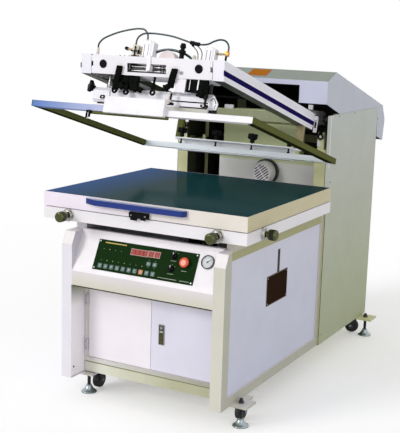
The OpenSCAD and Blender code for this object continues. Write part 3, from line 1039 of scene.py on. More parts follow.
# Painted light: the lit face of the same alloy, blue at the front member's outer end and pale lavender
# towards the middle.
LILAC = Finish(
    "frame_alloy", (0.13, 0.24, 0.56), 0.45, fade=(0.68, 0.7, 0.92), run=(Axis.X, -0.54, -0.08),
    shine=0.0,
)
PALE = Finish("alloy", (0.96, 0.94, 0.98), 0.4)
CREAM = Finish("alloy", (0.72, 0.68, 0.6), 0.4)
LOCK = Finish("lock_metal", (0.085, 0.08, 0.035), 0.35, metallic=0.7)
PULL_EDGE = Finish("lock_metal", (0.5, 0.5, 0.48), 0.3, metallic=0.6)
RUBBER = Finish("blade_rubber", (0.66, 0.65, 0.58), 0.6)
HOSE = Finish("hose_tube", (0.012, 0.04, 0.055), 0.25)
VALVE = Finish("valve_metal", (0.35, 0.28, 0.18), 0.35, metallic=0.5)
BRASS = Finish("valve_metal", (0.5, 0.22, 0.05), 0.3, metallic=0.7)
HINGE = Finish("steel", (0.62, 0.61, 0.63), 0.4)
FRONT = Finish("alloy", (0.88, 0.86, 0.9), 0.4)
HANGER = Finish("frame_alloy", (0.36, 0.3, 0.17), 0.5, shine=0.2)
# Downward faces on the beam's left part are painted near black: painted shade under the beam.
BEAM = Finish(
    "alloy", (0.97, 0.94, 0.99), 0.4, under=(0.03, 0.036, 0.02), under_fade=(1.0, 0.97, 1.0), shine=0.1,
    run=(Axis.X, -0.09, -0.05),
)
# Painted shade inside the beam's window.
WINDOW_SHADE = Finish("alloy", (0.2, 0.2, 0.17), 0.5, shine=0.0)
COVER_FACE = Finish("alloy", (0.72, 0.62, 0.62), 0.4)
BAR_WHITE = Finish("alloy", (0.9, 0.89, 0.95), 0.4)
LUMP = Finish("black_plastic", (0.003, 0.004, 0.003), 0.6, shine=0.03)
HOLDER = Finish("frame_alloy", (0.97, 0.98, 1.0), 0.4, shine=0.3)


@dataclass
class Camera:
    """The photograph's camera: where it stands, how it is turned and how long its lens is."""

    x: float = 2150.9
    y: float = -3474.8
    z: float = 1698.9
    yaw: float = 28.239
    pitch: float = 11.1
    roll: float = 1.741
    focal_px: float = 992.87
    frame_px: float = 433.0
    sensor: float = 36.0

    def build(self) -> None:
        """Makes the camera: its back axis points away from the scene."""
        yaw, pitch, roll = (math.radians(a) for a in (self.yaw, self.pitch, self.roll))
        ahead = np.array(
            [-math.sin(yaw) * math.cos(pitch), math.cos(yaw) * math.cos(pitch), -math.sin(pitch)]
        )
        right = np.array([math.cos(yaw), math.sin(yaw), 0.0])
        up = np.cross(right, ahead)
        across = math.cos(roll) * right + math.sin(roll) * up
        over = -math.sin(roll) * right + math.cos(roll) * up
        data = bpy.data.cameras.new("photo_camera")
        data.lens = self.focal_px * self.sensor / self.frame_px
        data.sensor_width = self.sensor
        data.clip_end = 60.0
        camera = bpy.data.objects.new("photo_camera", data)
        bpy.context.scene.collection.objects.link(camera)
        place = MACHINE.place(np.array([self.x, self.y, self.z])) * MM
        matrix = np.eye(4)
        matrix[:3, 0], matrix[:3, 1], matrix[:3, 2], matrix[:3, 3] = across, over, -ahead, place
        camera.matrix_world = Matrix(matrix.tolist())
        bpy.context.scene.camera = camera


@dataclass
class Studio:
    """A white room with even light, a soft lamp from the operator's left and a wide one from the right."""

    ambient: float = 0.53
    key: float = 1.32
    fill: float = 0.5
    fill_from: tuple[float, float, float] = (0.85, -0.5, 0.2)
    key_from: tuple[float, float, float] = (-0.5, -0.8, 0.42)
    key_width: float = 24.0
    fill_width: float = 60.0
    floor_size: float = 40.0
    floor_colour: float = 0.93
    floor_glow: float = 0.3

    def build(self) -> None:
        """Makes the world, the lamps and the floor."""
        self.world()
        self.lamp("key_lamp", self.key_from, self.key, self.key_width)
        self.lamp("fill_lamp", self.fill_from, self.fill, self.fill_width)
        self.floor()
        bpy.context.scene.view_settings.view_transform = "Standard"

    def world(self) -> None:
        """Lights everything evenly, and shows as white to the camera and in gloss and glass."""
        world = bpy.data.worlds.new("white_room")
        bpy.context.scene.world = world
        world.use_nodes = True
        nodes = Nodes(world.node_tree)
        path = nodes.add("ShaderNodeLightPath").outputs
        seen = nodes.math("MAXIMUM", path["Is Camera Ray"], path["Is Transmission Ray"])
        shown = nodes.math("MAXIMUM", seen, path["Is Glossy Ray"])
        strength = nodes.spread(shown, self.ambient, 1.0, 0.0, 1.0)
        shade = nodes.add("ShaderNodeBackground", Color=(1.0, 1.0, 1.0), Strength=strength)
        nodes.add("ShaderNodeOutputWorld", Surface=shade.outputs[0])

    def lamp(self, name: str, source: Point, strength: float, spread: float) -> None:
        """Adds a soft distant lamp.

        Args:
            name: the lamp's name.
            source: the direction that the light comes from.
            strength: its strength.
            spread: its width in the sky, in degrees.
        """
        data = bpy.data.lights.new(name, "SUN")
        data.energy = strength
        data.angle = math.radians(spread)
        lamp = bpy.data.objects.new(name, data)
        lamp.rotation_euler = Vector(source).to_track_quat("Z", "Y").to_euler()
        bpy.context.scene.collection.objects.link(lamp)

    def floor(self) -> None:
        """Lays a pale floor under the machine, lifted to white for the camera alone."""
        half = self.floor_size / 2
        mesh = bpy.data.meshes.new("floor")
        corners = [(-half, -half, 0), (half, -half, 0), (half, half, 0), (-half, half, 0)]
        mesh.from_pydata(corners, [], [(0, 1, 2, 3)])
        graph = Graph("floor_paint")
        pale, dull = (self.floor_colour,) * 3, (self.floor_colour - 0.01,) * 3
        seen = graph.add("ShaderNodeLightPath").outputs["Is Camera Ray"]
        graph.set(
            Base_Color=graph.mix(graph.noise(3.0), pale, dull),
            Roughness=0.9,
            Emission_Color=(1.0, 1.0, 1.0),
            Emission_Strength=graph.math("MULTIPLY", seen, self.floor_glow),
        )
        mesh.materials.append(graph.made)
        floor = bpy.data.objects.new("floor", mesh)
        bpy.context.scene.collection.objects.link(floor)


def screws(
    name: str, body: str, finish: Finish, pose: Pose, centres: Sequence[Point], axis: Point, size: float
) -> Thing:
    """Makes a set of equal screw heads as one piece.

    Args:
        name: the object's name.
        body: the CAD body that carries them.
        finish: what they are made of.
        pose: the pose that they are drawn in.
        centres: the middle of each seat.
        axis: direction in which the heads stand out.
        size: diameter of a head.

    Returns:
        The object.
    """
    shell = Shell(pose)
    for centre in centres:
        shell.screw(centre, axis, size)
    return shell.piece(name, body, finish)


@dataclass
class Plates:
    """The bare plate on the cabinet's right side and the bare label on the hood's slope."""

    plate_low: tuple[float, float] = (432.0, 458.0)
    plate_high: tuple[float, float] = (657.0, 596.0)
    face_x: float = 399.0
    label_low: tuple[float, float] = (-28.0, 24.0)
    label_high: tuple[float, float] = (78.0, 104.0)
    rim: float = 4.0

    def build(self) -> None:
        """Makes both plates with their frames and rivets."""
        (y0, z0), (y1, z1), x = self.plate_low, self.plate_high, self.face_x
        plate = Shell().block((x + 0.02, y0, z0), (x + 1.0, y1, z1), 0.3, 5, Axis.X)
        plate.piece("side_plate", "base", PLATE, "blank_plates")
        rim, inner, w = Shell(), 0.1, self.rim
        for low, high in (
            ((y0, z0), (y1, z0 + w)),
            ((y0, z1 - w), (y1, z1)),
            ((y0 + inner, z0 + w + inner), (y0 + w, z1 - w - inner)),
            ((y1 - w, z0 + w + inner), (y1 - inner, z1 - w - inner)),
        ):
            rim.block((x + 0.5, *low), (x + 1.5, *high), 0.3, 0.8, Axis.X)
        rim.piece("side_plate_rim", "base", PLATE_RIM)
        corners = [(x + 1, y, z) for y in (y0 + 11, y1 - 11) for z in (z0 + 11, z1 - 11)]
        screws("side_plate_rivets", "base", STEEL, FLOOR, corners, RIGHT, 6)
        (x0, d0), (x1, d1) = self.label_low, self.label_high
        back = Shell(SLOPE).block((x0, d0, 0.02), (x1, d1, 0.7), 0.2, 5)
        back.piece("hood_label_rim", "base", LABEL_RIM, "blank_plates")
        label = Shell(SLOPE).block((x0 + w, d0 + w, 0.5), (x1 - w, d1 - w, 1.0), 0.2, 4)
        label.piece("hood_label", "base", ORANGE)


@dataclass
class Console:
    """Keys, lamps, windows, selectors, stop button and gauge on the sloping console."""

    key_count: int = 10
    orange_key: int = 7
    lit: tuple[int, ...] = (1, 2, 4, 7)
    upper_lamps: int = 4
    lit_above: int = 1
    key_pitch: float = 29.8
    key_start: float = -225.0
    key_size: float = 20.0
    key_row: float = 32.0
    sign_keys: tuple[float, ...] = (12, 43)
    sign_row: float = 73.0
    sign_tall: float = 18.0
    lamp_seat: float = 3.0
    lamp_rows: tuple[float, float] = (68, 118)
    sign_lamps: tuple[float, ...] = (22, 53)
    sign_lamp_row: float = 98.0
    screw_x: float = 242.0
    screw_rows: tuple[float, float] = (30, 151)
    window_tall: float = 26.0
    figure_pitch: float = 21.0
    windows: tuple[tuple[float, float, float], ...] = ((-77, 111, 84), (11, 113, 26), (41, 113, 26))
    selectors: tuple[tuple[str, float], ...] = (("left_selector", 76.0), ("right_selector", 133.0))
    selector_x: float = 136.0
    stop_at: tuple[float, float] = (196.0, 110.0)
    gauge_at: tuple[float, float] = (295.0, 130.0)
    key_mark: tuple[float, float] = (4.3, 4.55)
    figure_mark: tuple[float, float] = (3.45, 3.7)
    tick_mark: tuple[float, float] = (2.95, 3.15)
    dial_mark: tuple[float, float] = (3.25, 3.42)

    def build(self) -> None:
        """Makes every fitting on the console."""
        self.keys()
        self.lamps()
        self.displays()
        self.marks()
        for name, depth in self.selectors:
            self.selector(name, depth)
        self.stop()
        self.gauge()

    def key(self, shell: Shell, x: float, d: float, wide: float, tall: float) -> None:
        """Adds one key with a dished cap.

        Args:
            shell: the piece that gets it.
            x: its left side.
            d: its lower side.
            wide: its width.
            tall: its height up the slope.
        """
        outline = rounded([[x, d], [x + wide, d], [x + wide, d + tall], [x, d + tall]], 2.5)
        rows = [inset(outline, s) for s in (0, 0, 0.4, 1.2, 2.6, 3.4)]
        levels = (3.0, 3.9, 4.4, 4.5, 4.35, 4.2)
        grid = np.stack([np.column_stack([row, np.full(len(row), z)]) for row, z in zip(rows, levels)])
        shell.grid(grid)

    def keys(self) -> None:
        """Makes the row of keys, one of them orange, and the two keys under the windows."""
        teal, orange, marks = Shell(CONSOLE), Shell(CONSOLE), Shell(CONSOLE)
        for i in range(self.key_count):
            x = self.key_start + self.key_pitch * i
            caps = orange if i == self.orange_key else teal
            self.key(caps, x, self.key_row, self.key_size, self.key_size)
            marks.bar((x + 6, 37.5), (x + 14, 37.5 + (i % 3) * 4), 1.6, *self.key_mark)
            marks.bar((x + 6, 46), (x + 14, 46 - (i % 2) * 5), 1.6, *self.key_mark)
        for x in self.sign_keys:
            self.key(teal, x, self.sign_row, self.key_size, self.sign_tall)
            marks.bar((x + 5, 82), (x + 15, 82), 1.6, *self.key_mark)
        marks.bar((53, 77), (53, 87), 1.6, *self.key_mark)
        teal.piece("teal_keys", "base", KEYS, "keypad")
        orange.piece("orange_key", "base", ORANGE_KEY, "keypad")
        marks.piece("key_marks", "base", KEY_MARK)
        corners = [(side * self.screw_x, d, 3) for side in (-1, 1) for d in self.screw_rows]
        screws("plate_screws", "base", STEEL, CONSOLE, corners, UP, 7)

    def lamps(self) -> None:
        """Makes the rows of small lamps above the keys."""
        bright, dim = Shell(CONSOLE), Shell(CONSOLE)
        dome = [[2.2, 0], [2.2, 0.8], [1.7, 1.6], [0.8, 2.1]]
        (low, high), seat = self.lamp_rows, self.lamp_seat
        for i in range(self.key_count):
            x = self.key_start + self.key_pitch * i + 10
            (bright if i in self.lit else dim).lathe(dome, (x, low, seat), UP, 14)
            if i < self.upper_lamps:
                (bright if i == self.lit_above else dim).lathe(dome, (x, high, seat), UP, 14)
        for x in self.sign_lamps:
            dim.lathe(dome, (x, self.sign_lamp_row, seat), UP, 14)
        bright.piece("bright_lamps", "base", LAMP)
        dim.piece("dim_lamps", "base", DIM_LAMP)

    def displays(self) -> None:
        """Puts a pale rim round each window and lit figures behind it."""
        rim, figures = Shell(CONSOLE), Shell(CONSOLE)
        for x, d, wide in self.windows:
            right, top = x + wide, d + self.window_tall
            for a, b in (
                ((x - 1.9, d), (right + 1.9, d)), ((x - 1.9, top), (right + 1.9, top)),
                ((x, d + 1.3), (x, top - 1.3)), ((right, d + 1.3), (right, top - 1.3)),
            ):
                rim.bar(a, b, 2.4, 2.9, 4.0)
            count = round(wide / self.figure_pitch)
            for i in range(count):
                self.figure(figures, x + wide / count * (i + 0.5), d + self.window_tall / 2)
        rim.piece("window_rims", "base", WINDOW_RIM)
        figures.piece("lit_figures", "base", DIGIT)

    def figure(self, shell: Shell, x: float, d: float) -> None:
        """Adds the seven bars of a figure eight.

        Args:
            shell: the piece that gets it.
            x: its middle across.
            d: its middle up the slope.
        """
        for rise in (-8, 0, 8):
            shell.bar((x - 4, d + rise), (x + 4, d + rise), 1.7, *self.figure_mark)
        for side in (-5, 5):
            for rise in (-7, 1):
                shell.bar((x + side, d + rise), (x + side, d + rise + 6), 1.7, *self.figure_mark)

    def marks(self) -> None:
        """Draws the plain strip at the top and the ticks round the selectors."""
        heading = Shell(CONSOLE).bar((-216, 147), (-106, 147), 5.0, 2.95, 3.2)
        heading.piece("heading_strip", "base", HEADING)
        ticks, x = Shell(CONSOLE), self.selector_x
        for _, d in self.selectors:
            for a in (-0.8, 0.0, 0.8):
                c, s = math.sin(a), math.cos(a)
                ticks.bar((x + 17 * c, d + 17 * s), (x + 21 * c, d + 21 * s), 1.5, *self.tick_mark)
            ticks.bar((x - 14, d - 21), (x + 14, d - 21), 1.6, *self.tick_mark)
        ticks.bar((self.stop_at[0] - 13, 76), (self.stop_at[0] + 13, 76), 1.6, *self.tick_mark)
        for start, stop in (((80, 33), (172, 33)), ((186, 33), (232, 33))):
            ticks.bar(start, stop, 1.8, *self.tick_mark)
        ticks.piece("console_ticks", "base", TICKS)

    def selector(self, name: str, depth: float) -> None:
        """Makes one selector: a skirt, a grip with a rounded top and a white line.

        Args:
            name: its CAD node and body.
            depth: its place up the slope.
        """
        x = self.selector_x
        profile = [
            [4, -12], [4, 3.4], [14, 3.4], [14, 6.5], [12.6, 8.6], [11.5, 9.2], [11, 13.2], [9.8, 14],
        ]
        body = Shell(CONSOLE).lathe(profile, (x, depth, 0), UP, 40)
        body.block((x - 4, depth - 12, 10), (x + 4, depth + 12, 19.4), 1.6, 3.2)
        body.piece(name + "_knob", name, BLACK, name)
        line = Shell(CONSOLE).bar((x, depth + 3), (x, depth + 11), 2.4, 19.2, 19.7)
        line.bar((x, depth + 11.2), (x, depth + 12.2), 2.4, 12, 19.2)
        line.piece(name + "_line", name, SELECTOR_LINE)

    def stop(self) -> None:
        """Makes the mushroom button with its dark collar."""
        x, d = self.stop_at
        profile = [
            [4, -14], [4, 11], [15, 11], [18, 13.5], [21.4, 17.5], [22, 19.5], [21.6, 21.5], [19.5, 24],
            [15, 25.6], [9, 26],
        ]
        button = Shell(CONSOLE).lathe(profile, (x, d, 0), UP, 48)
        button.piece("stop_mushroom", "emergency_button", RED, "emergency_button")
        collar = [[5, 3.05], [15.5, 3.05], [15.5, 5], [13.5, 5.8], [5, 5.8]]
        Shell(CONSOLE).lathe(collar, (x, d, 0), UP, 40).piece("stop_collar", "base", BLACK)

    def gauge(self) -> None:
        """Makes the gauge's bezel and its dial with ticks."""
        x, d = self.gauge_at
        bezel = [
            [25.8, -30], [25.8, 0.1], [30, 0.1], [30, 5.2], [29, 7], [27.3, 8], [26.2, 7.4], [25.9, 5],
            [25.9, 3.2], [1.2, 3.2],
        ]
        dial = [[1.2, 3.1], [25.8, 3.1], [25.8, 3.3], [1.2, 3.3]]
        case = Shell(CONSOLE).lathe(bezel, (x, d, 0), UP, 64)
        case.piece("gauge_bezel", "base", BEZEL, "gauge_case")
        Shell(CONSOLE).lathe(dial, (x, d, 0), UP, 64).piece("gauge_dial", "base", DIAL)
        ticks = Shell(CONSOLE)
        for i in range(31):
            a = math.radians(-135 + 9 * i)
            c, s, near, far = math.sin(a), math.cos(a), 20.5 if i % 5 else 17.5, 23.5
            ticks.bar((x + near * c, d + near * s), (x + far * c, d + far * s), 0.9, *self.dial_mark)
        ticks.piece("gauge_ticks", "base", NEEDLE)


@dataclass
class Doors:
    """Lock details and hinge screws of the two doors, and flat strips of painted shade on the cabinet
    round them.
    """

    lock: tuple[float, float] = (54.0, 106.0)
    lock_low: tuple[float, float] = (40, 308)
    lock_high: tuple[float, float] = (68, 400)
    lock_rim: float = 2.0
    hinge_x: float = 339.0
    hinge_z: tuple[float, float] = (214, 427)
    leg_screw: tuple[float, float, float] = (-351.9, 22, 155)
    # Flat strips of painted shade: a dark line under the sill, the lower rail's face and the sill darker
    # towards the right, a dark line under the console's lip, the left leg's inner side darker towards the
    # console, the inside of the slot on the right side, and the table's shadow on the upper right rail.
    trim: tuple[tuple[str, Finish, Point, Point, float, float], ...] = (
        ("rail_line", RAIL_SHADOW_LINE, (-348, 108.2, 157), (348, 110.9, 161.9), 0.3, 0.4),
        ("rail_face", RAIL_FACE_SHADE, (-348, 110.3, 112), (348, 110.9, 156.9), 0.1, 0.2),
        ("rail_ledge", RAIL_LEDGE_SHADE, (-348, 106.3, 163), (348, 106.9, 181), 0.1, 0.2),
        ("console_lip_shadow", LIP_SHADOW, (-346, 6.4, 535.6), (346, 34, 540.9), 0.4, 0.6),
        ("leg_inside_shade", LEG_INSIDE_SHADE, (-351.9, 2.5, 114), (-351.4, 104, 540), 0.1, 0.2),
        ("slot_shade", SLOT_SHADE, (399.05, 541, 596), (399.7, 565, 702), 0.1, 0.2),
        ("upper_rail_shadow", UPPER_RAIL_SHADOW, (406.02, 62, 743), (406.5, 1038, 778), 0.1, 0.2),
    )

    def build(self) -> None:
        """Makes the lock's rim and keyhole, the doors' screws and the strips of painted shade."""
        x, y = self.lock
        ring = [[6.4, 0], [6.4, 1.0], [5.4, 1.4], [4.4, 1.0], [4.2, 0.2], [1.5, 0.2]]
        Shell().lathe(ring, (x, y - 0.1, 386), FORTH, 28).piece("lock_ring", "right_door", STEEL)
        # The keyhole is a black mark that stands for the shade inside it.
        slot = Shell().block((x - 0.9, y - 0.6, 381.5), (x + 0.9, y - 0.1, 390.5), 0.2)
        slot.piece("lock_keyhole", "right_door", BLACK)
        rim, inner, w = Shell(), 0.1, self.lock_rim
        (x0, z0), (x1, z1) = self.lock_low, self.lock_high
        for low, high in (
            ((x0, z0), (x0 + w, z1)),
            ((x1 - w, z0), (x1, z1)),
            ((x0 + w + inner, z0), (x1 - w - inner, z0 + w)),
            ((x0 + w + inner, z1 - w), (x1 - w - inner, z1)),
        ):
            rim.block((low[0], y - 0.8, low[1]), (high[0], y + 0.5, high[1]), 0.4)
        rim.piece("lock_rim", "right_door", STEEL)
        pull = Shell().block((45.5, 104.4, 364), (62.5, 105.2, 372), 0.3)
        pull.piece("lock_pull_edge", "lock_handle", PULL_EDGE)
        rows = [z + rise for z in self.hinge_z for rise in (10, 42)]
        leaf = [(side * self.hinge_x, 100.9, z) for side in (-1, 1) for z in rows]
        screws("hinge_screws", "base", STEEL, FLOOR, leaf, FORTH, 6)
        for name, finish, low, high, edge, corner in self.trim:
            Shell().block(low, high, edge, corner).piece(name, "base", finish)
        screws("left_leg_screws", "base", BLACK, FLOOR, [self.leg_screw], RIGHT, 9)


@dataclass
class Table:
    """Micrometer adjusters, their flanges and the trim of the sliding table."""

    adjusters: tuple[tuple[str, Point, Point, float], ...] = (
        ("left_adjuster", (-367, 0, 854), FORTH, 74),
        ("right_adjuster", (367, 0, 854), FORTH, 74),
        ("side_adjuster", (500, 154, 854), RIGHT, 61),
    )
    barrel: float = 46.0

    def build(self) -> None:
        """Makes the three adjusters, their flanges and the face of the start bar's bracket."""
        flanges = Shell()
        ring = [
            [7.2, 0.1], [29, 0.1], [29, 4.5], [27.5, 6], [22, 6.5], [20.5, 8.2], [20, 13], [18.5, 14],
            [7.2, 14],
        ]
        for node, foot, way, end in self.adjusters:
            self.adjuster(node, foot, way, end)
            flanges.lathe(ring, foot, way, 48)
        flanges.piece("adjuster_flanges", "base", FLANGE, "adjuster_bushes")
        pads = Shell().block((-46, -16.4, 886), (46, -15.8, 906), 0.2, 2, Axis.Y)
        pads.piece("bracket_face", "table", BLACK)
        seats = [(x, -16.2, 896) for x in (-34, 34)]
        screws("bracket_screws", "table", STEEL, FLOOR, seats, FORTH, 8)

    def adjuster(self, node: str, foot: Point, way: Point, end: float) -> None:
        """Makes one adjuster: shaft, sleeve, ribbed barrel and polished end.

        Args:
            node: its CAD node and body.
            foot: where its axis meets the table's side.
            way: the direction in which it stands out.
            end: how far it stands out.
        """
        r = self.barrel / 2
        shaft = [
            [7, -50], [7, end - 46], [12.5, end - 46], [13, end - 45], [13, end - 38], [19, end - 35],
            [r - 1, end - 34.6], [r - 0.2, end - 33.5], [r - 0.2, end - 28.5], [r - 1.4, end - 28],
        ]
        tip = [
            [r - 1.4, end - 9], [r - 0.2, end - 8.6], [r - 0.2, end - 6], [r - 2, end - 2.4],
            [r - 6, end - 0.2], [r - 7, end - 0.1], [r - 14, end - 0.1], [r - 15, end - 1.6],
        ]
        body = Shell().lathe(shaft, foot, way, 48).lathe(tip, foot, way, 48)
        body.piece(node + "_body", node, KNOB, node)
        axis = Axis.Y if way[1] else Axis.X
        n, p, q = axis.value
        outline = star(2 * r - 0.2, 44, 0.018, 176) + np.array([foot[p], foot[q]])
        ends = sorted(foot[n] + way[n] * (end - gap) for gap in (28.2, 8.8))
        ribs = Shell().prism(outline, axis, *ends, 0.4, 1)
        ribs.piece(node + "_ribs", node, RIBS, sharp=25)


@dataclass
class Feet:
    """Levelling feet and castors."""

    feet: tuple[tuple[float, float], ...] = ((-345, 137), (428, 157), (-352, 1640), (448, 1688))
    free: tuple[int, ...] = (1, 3)
    nut_radius: float = 13.4
    nut_z: tuple[float, float] = (83, 95)
    free_nut_z: tuple[float, float] = (105.1, 114)
    castors: tuple[tuple[str, float, float, bool], ...] = (
        ("front_left", -335, 205, False), ("front_right", 400, 217, False),
        ("rear_left", -352, 1568, False), ("rear_right", 370, 1690, True),
    )

    def build(self) -> None:
        """Makes the feet's pads, rods and nuts and the castors' bearings and hubs."""
        pads, rods, nuts = Shell(), Shell(), Shell()
        pad = [
            [35, 0], [36, 1.2], [36, 4.6], [35, 6.4], [31, 8.6], [25, 13], [20, 18.5], [16.5, 24.5],
            [14.2, 30], [12.2, 31.5], [12, 37], [10.5, 38], [8.2, 38],
        ]
        z = np.arange(37.5, 126, 0.9)
        thread = np.column_stack([np.where(np.arange(len(z)) % 2, 8.0, 7.1), z])
        a = np.arange(6) * math.pi / 3
        hexagon = np.array([[self.nut_radius * math.cos(s), self.nut_radius * math.sin(s)] for s in a])
        for i, (x, y) in enumerate(self.feet):
            pads.lathe(pad, (x, y, 0), UP, 56)
            rods.lathe(thread, (x, y, 0), UP, 24)
            outline = rounded(hexagon + (x, y), 0.8, 2)
            nuts.prism(outline, Axis.Z, *self.nut_z, 1.2, 3)
            if i in self.free:
                nuts.prism(outline, Axis.Z, *self.free_nut_z, 1.2, 3)
        pads.piece("foot_pads", "base", CHROME, "levelling_feet")
        rods.piece("foot_rods", "base", FOOT_ROD)
        nuts.piece("foot_nuts", "base", FOOT_NUT, sharp=25)
        for name, x, y, turned in self.castors:
            self.castor(name, x, y, (0.0, 1.0, 0.0) if turned else (1.0, 0.0, 0.0))

    def castor(self, name: str, x: float, y: float, axle: Point) -> None:
        """Adds a bearing ring, hubs and axle nuts to a castor.

        Args:
            name: the castor's name.
            x: its place across.
            y: its place along.
            axle: direction of its axle at rest.
        """
        ring = [
            [7, 94.6], [21, 94.6], [23.2, 93.2], [23.6, 90.5], [23.2, 88.2], [20, 87.4], [7, 87.4],
        ]
        bearing = Shell().lathe(ring, (x, y, 0), UP, 40)
        bearing.piece(name + "_bearing", name + "_fork", CASTOR)
        way = np.array(axle)
        tyre, hub, nut = Shell(), Shell(), Shell()
        middle = np.array([x, y, 43.0])
        profile = [
            [15.5, -15], [33, -15], [36, -13], [37.4, -9], [37.5, -3], [37.5, 3], [37.4, 9], [36, 13],
            [33, 15], [15.5, 15],
        ]
        disc = [[4.2, 14.6], [15.5, 15.2], [16, 16.4], [12, 16.6], [4.2, 16.6]]
        cone = [[3.5, 21.2], [7.5, 21.2], [7.5, 24.5], [6, 25.4], [2, 25.4]]
        tyre.lathe(profile, middle, way, 56)
        for side in (-1, 1):
            hub.lathe(disc, middle, side * way, 32)
            nut.lathe(cone, middle, side * way, 6)
        tyre.piece(name + "_tyre", name + "_wheel", TYRE, name + "_wheel")
        hub.piece(name + "_hub", name + "_wheel", HUB)
        nut.piece(name + "_axle_nuts", name + "_fork", STEEL)


@dataclass
class Tower:
    """Fan cover, blocks in the head's entry, rollers, and screws on the tower and hood."""

    fan: tuple[float, float, float] = (58.0, 1140.0, 955.0)
    side_x: float = 415.0
    seats: tuple[tuple[float, float], ...] = (
        (1783, 1206), (1105, 940), (1097, 157), (1756, 157), (1756, 700), (1184, 1262), (1404, 1262),
    )
    flange_studs: tuple[float, ...] = (0.35, 1.3, 2.5, 3.9, 5.2)
    slot_pitch: float = 12.0
    slot_reach: float = 44.0

    def build(self) -> None:
        """Makes every fitting on the tower."""
        self.fan_cover()
        pale = Shell()
        pale.block((-188, 1112, 1255), (-137, 1122, 1285), 1.5, 3, Axis.Y)
        pale.block((272, 1122, 1288), (297, 1134, 1311), 1.2, 2, Axis.Y)
        pale.piece("entry_blocks", "base", PALE)
        strut = Shell().block((-305, 1100, 1062), (-288, 1112, 1119), 1.2, 2, Axis.Y)
        strut.block((-354.8, 1101, 1063), (-304, 1111, 1076), 1.0, 2)
        strut.piece("entry_strut", "base", STRUT)
        for side, name in ((1, "side_screws"), (-1, "left_screws")):
            seats = [(side * self.side_x, y, z) for y, z in self.seats]
            screws(name, "base", STEEL, FLOOR, seats, (side, 0, 0), 9)
        trim = Shell().block((-268, 1005.4, 1326), (268, 1006.9, 1336.4), 0.4, 0.6)
        trim.piece("entry_trim", "base", LUMP)
        flange = Shell().block((404, 1075.2, 1010), (414.8, 1075.9, 1268), 0.2, 0.5)
        flange.block((415.05, 1075, 1010), (415.35, 1081, 1268), 0.1, 0.1)
        flange.piece("front_flange", "base", PALE)
        for side, name in SIDES:
            self.roller(side, name)

    def roller(self, side: int, name: str) -> None:
        """Makes the roller beside one arm, with its eye, hub and foot.

        Args:
            side: -1 on the left, 1 on the right.
            name: the side's name.
        """
        foot = (min(side * 367, side * 391) + 0.5, 1055, 1171)
        eye_at = (side * 381, 1034.3, 1168)
        profile = [[8, 0], [19, 0], [20.6, 1.5], [20.6, 21.5], [19, 23], [8, 23]]
        eye = [[7.5, 0], [14.5, 0], [15.5, 1], [15.5, 4], [14.5, 5], [7.5, 5]]
        boss = [[2, 0], [7, 0], [7, 3.4], [5.6, 4.2], [2, 4.2]]
        ring = Shell().lathe(profile, foot, RIGHT, 40)
        ring.lathe(eye, eye_at, FORTH, 40, True).piece(name + "_roller", "base", BLACK)
        hub = Shell().lathe(boss, eye_at, FORTH, 28)
        low, high = sorted((side * 364.6, side * 382))
        hub.block((low, 1033, 1120), (high, 1039.8, 1149), 1.0, 2, Axis.Y)
        hub.piece(name + "_roller_hub", "base", MOTOR)

    def fan_cover(self) -> None:
        """Makes the fan's pale drum with its dark flange, and its face with slanted slots drawn as dark
        marks that stand for the shade seen through them.
        """
        x, y, z = self.fan
        drum = [
            [50, 0], [57, 0], [57.5, 60], [56.6, 66], [53, 71], [49.6, 73.2], [48.4, 71], [48.4, 66],
            [20, 66],
        ]
        rim = [[57.8, 1], [65, 1], [66, 3], [66, 25], [64, 27], [57.9, 27]]
        face = [[2, 66.5], [47.6, 66.5], [47.6, 71.6], [45, 72.8], [30, 73.5], [2, 73.7]]
        Shell().lathe(drum, (x, y, z), FORTH, 72).piece("fan_drum", "base", MOTOR, "blower_motor")
        flange = Shell().lathe(rim, (x, y, z), FORTH, 72, ring=True)
        for turn in self.flange_studs:
            at = (x + 62 * math.cos(turn), y - 27.1, z + 62 * math.sin(turn))
            flange.lathe([[3.4, 0], [3.4, 4], [2, 5]], at, FORTH, 14)
        flange.piece("fan_flange", "base", DARK)
        cover = Shell().lathe(face, (x, y, z), FORTH, 64)
        cover.piece("fan_face", "base", PALE, "blower_motor")
        # The slots are dark marks: painted shade seen through the grille.
        slots = Shell()
        along, across = np.array([0.8, 0.6]), np.array([-0.6, 0.8])
        for i in range(-3, 4):
            off = across * i * self.slot_pitch
            half = math.sqrt(self.slot_reach**2 - (i * self.slot_pitch) ** 2) - 4
            for side in (-1, 1):
                start, stop = along * side * 3.0 + off, along * side * half + off
                slots.slit((x, z), start, stop, 5.4, y - 74.1, y - 73.0)
        slots.piece("fan_slots", "base", DARK)


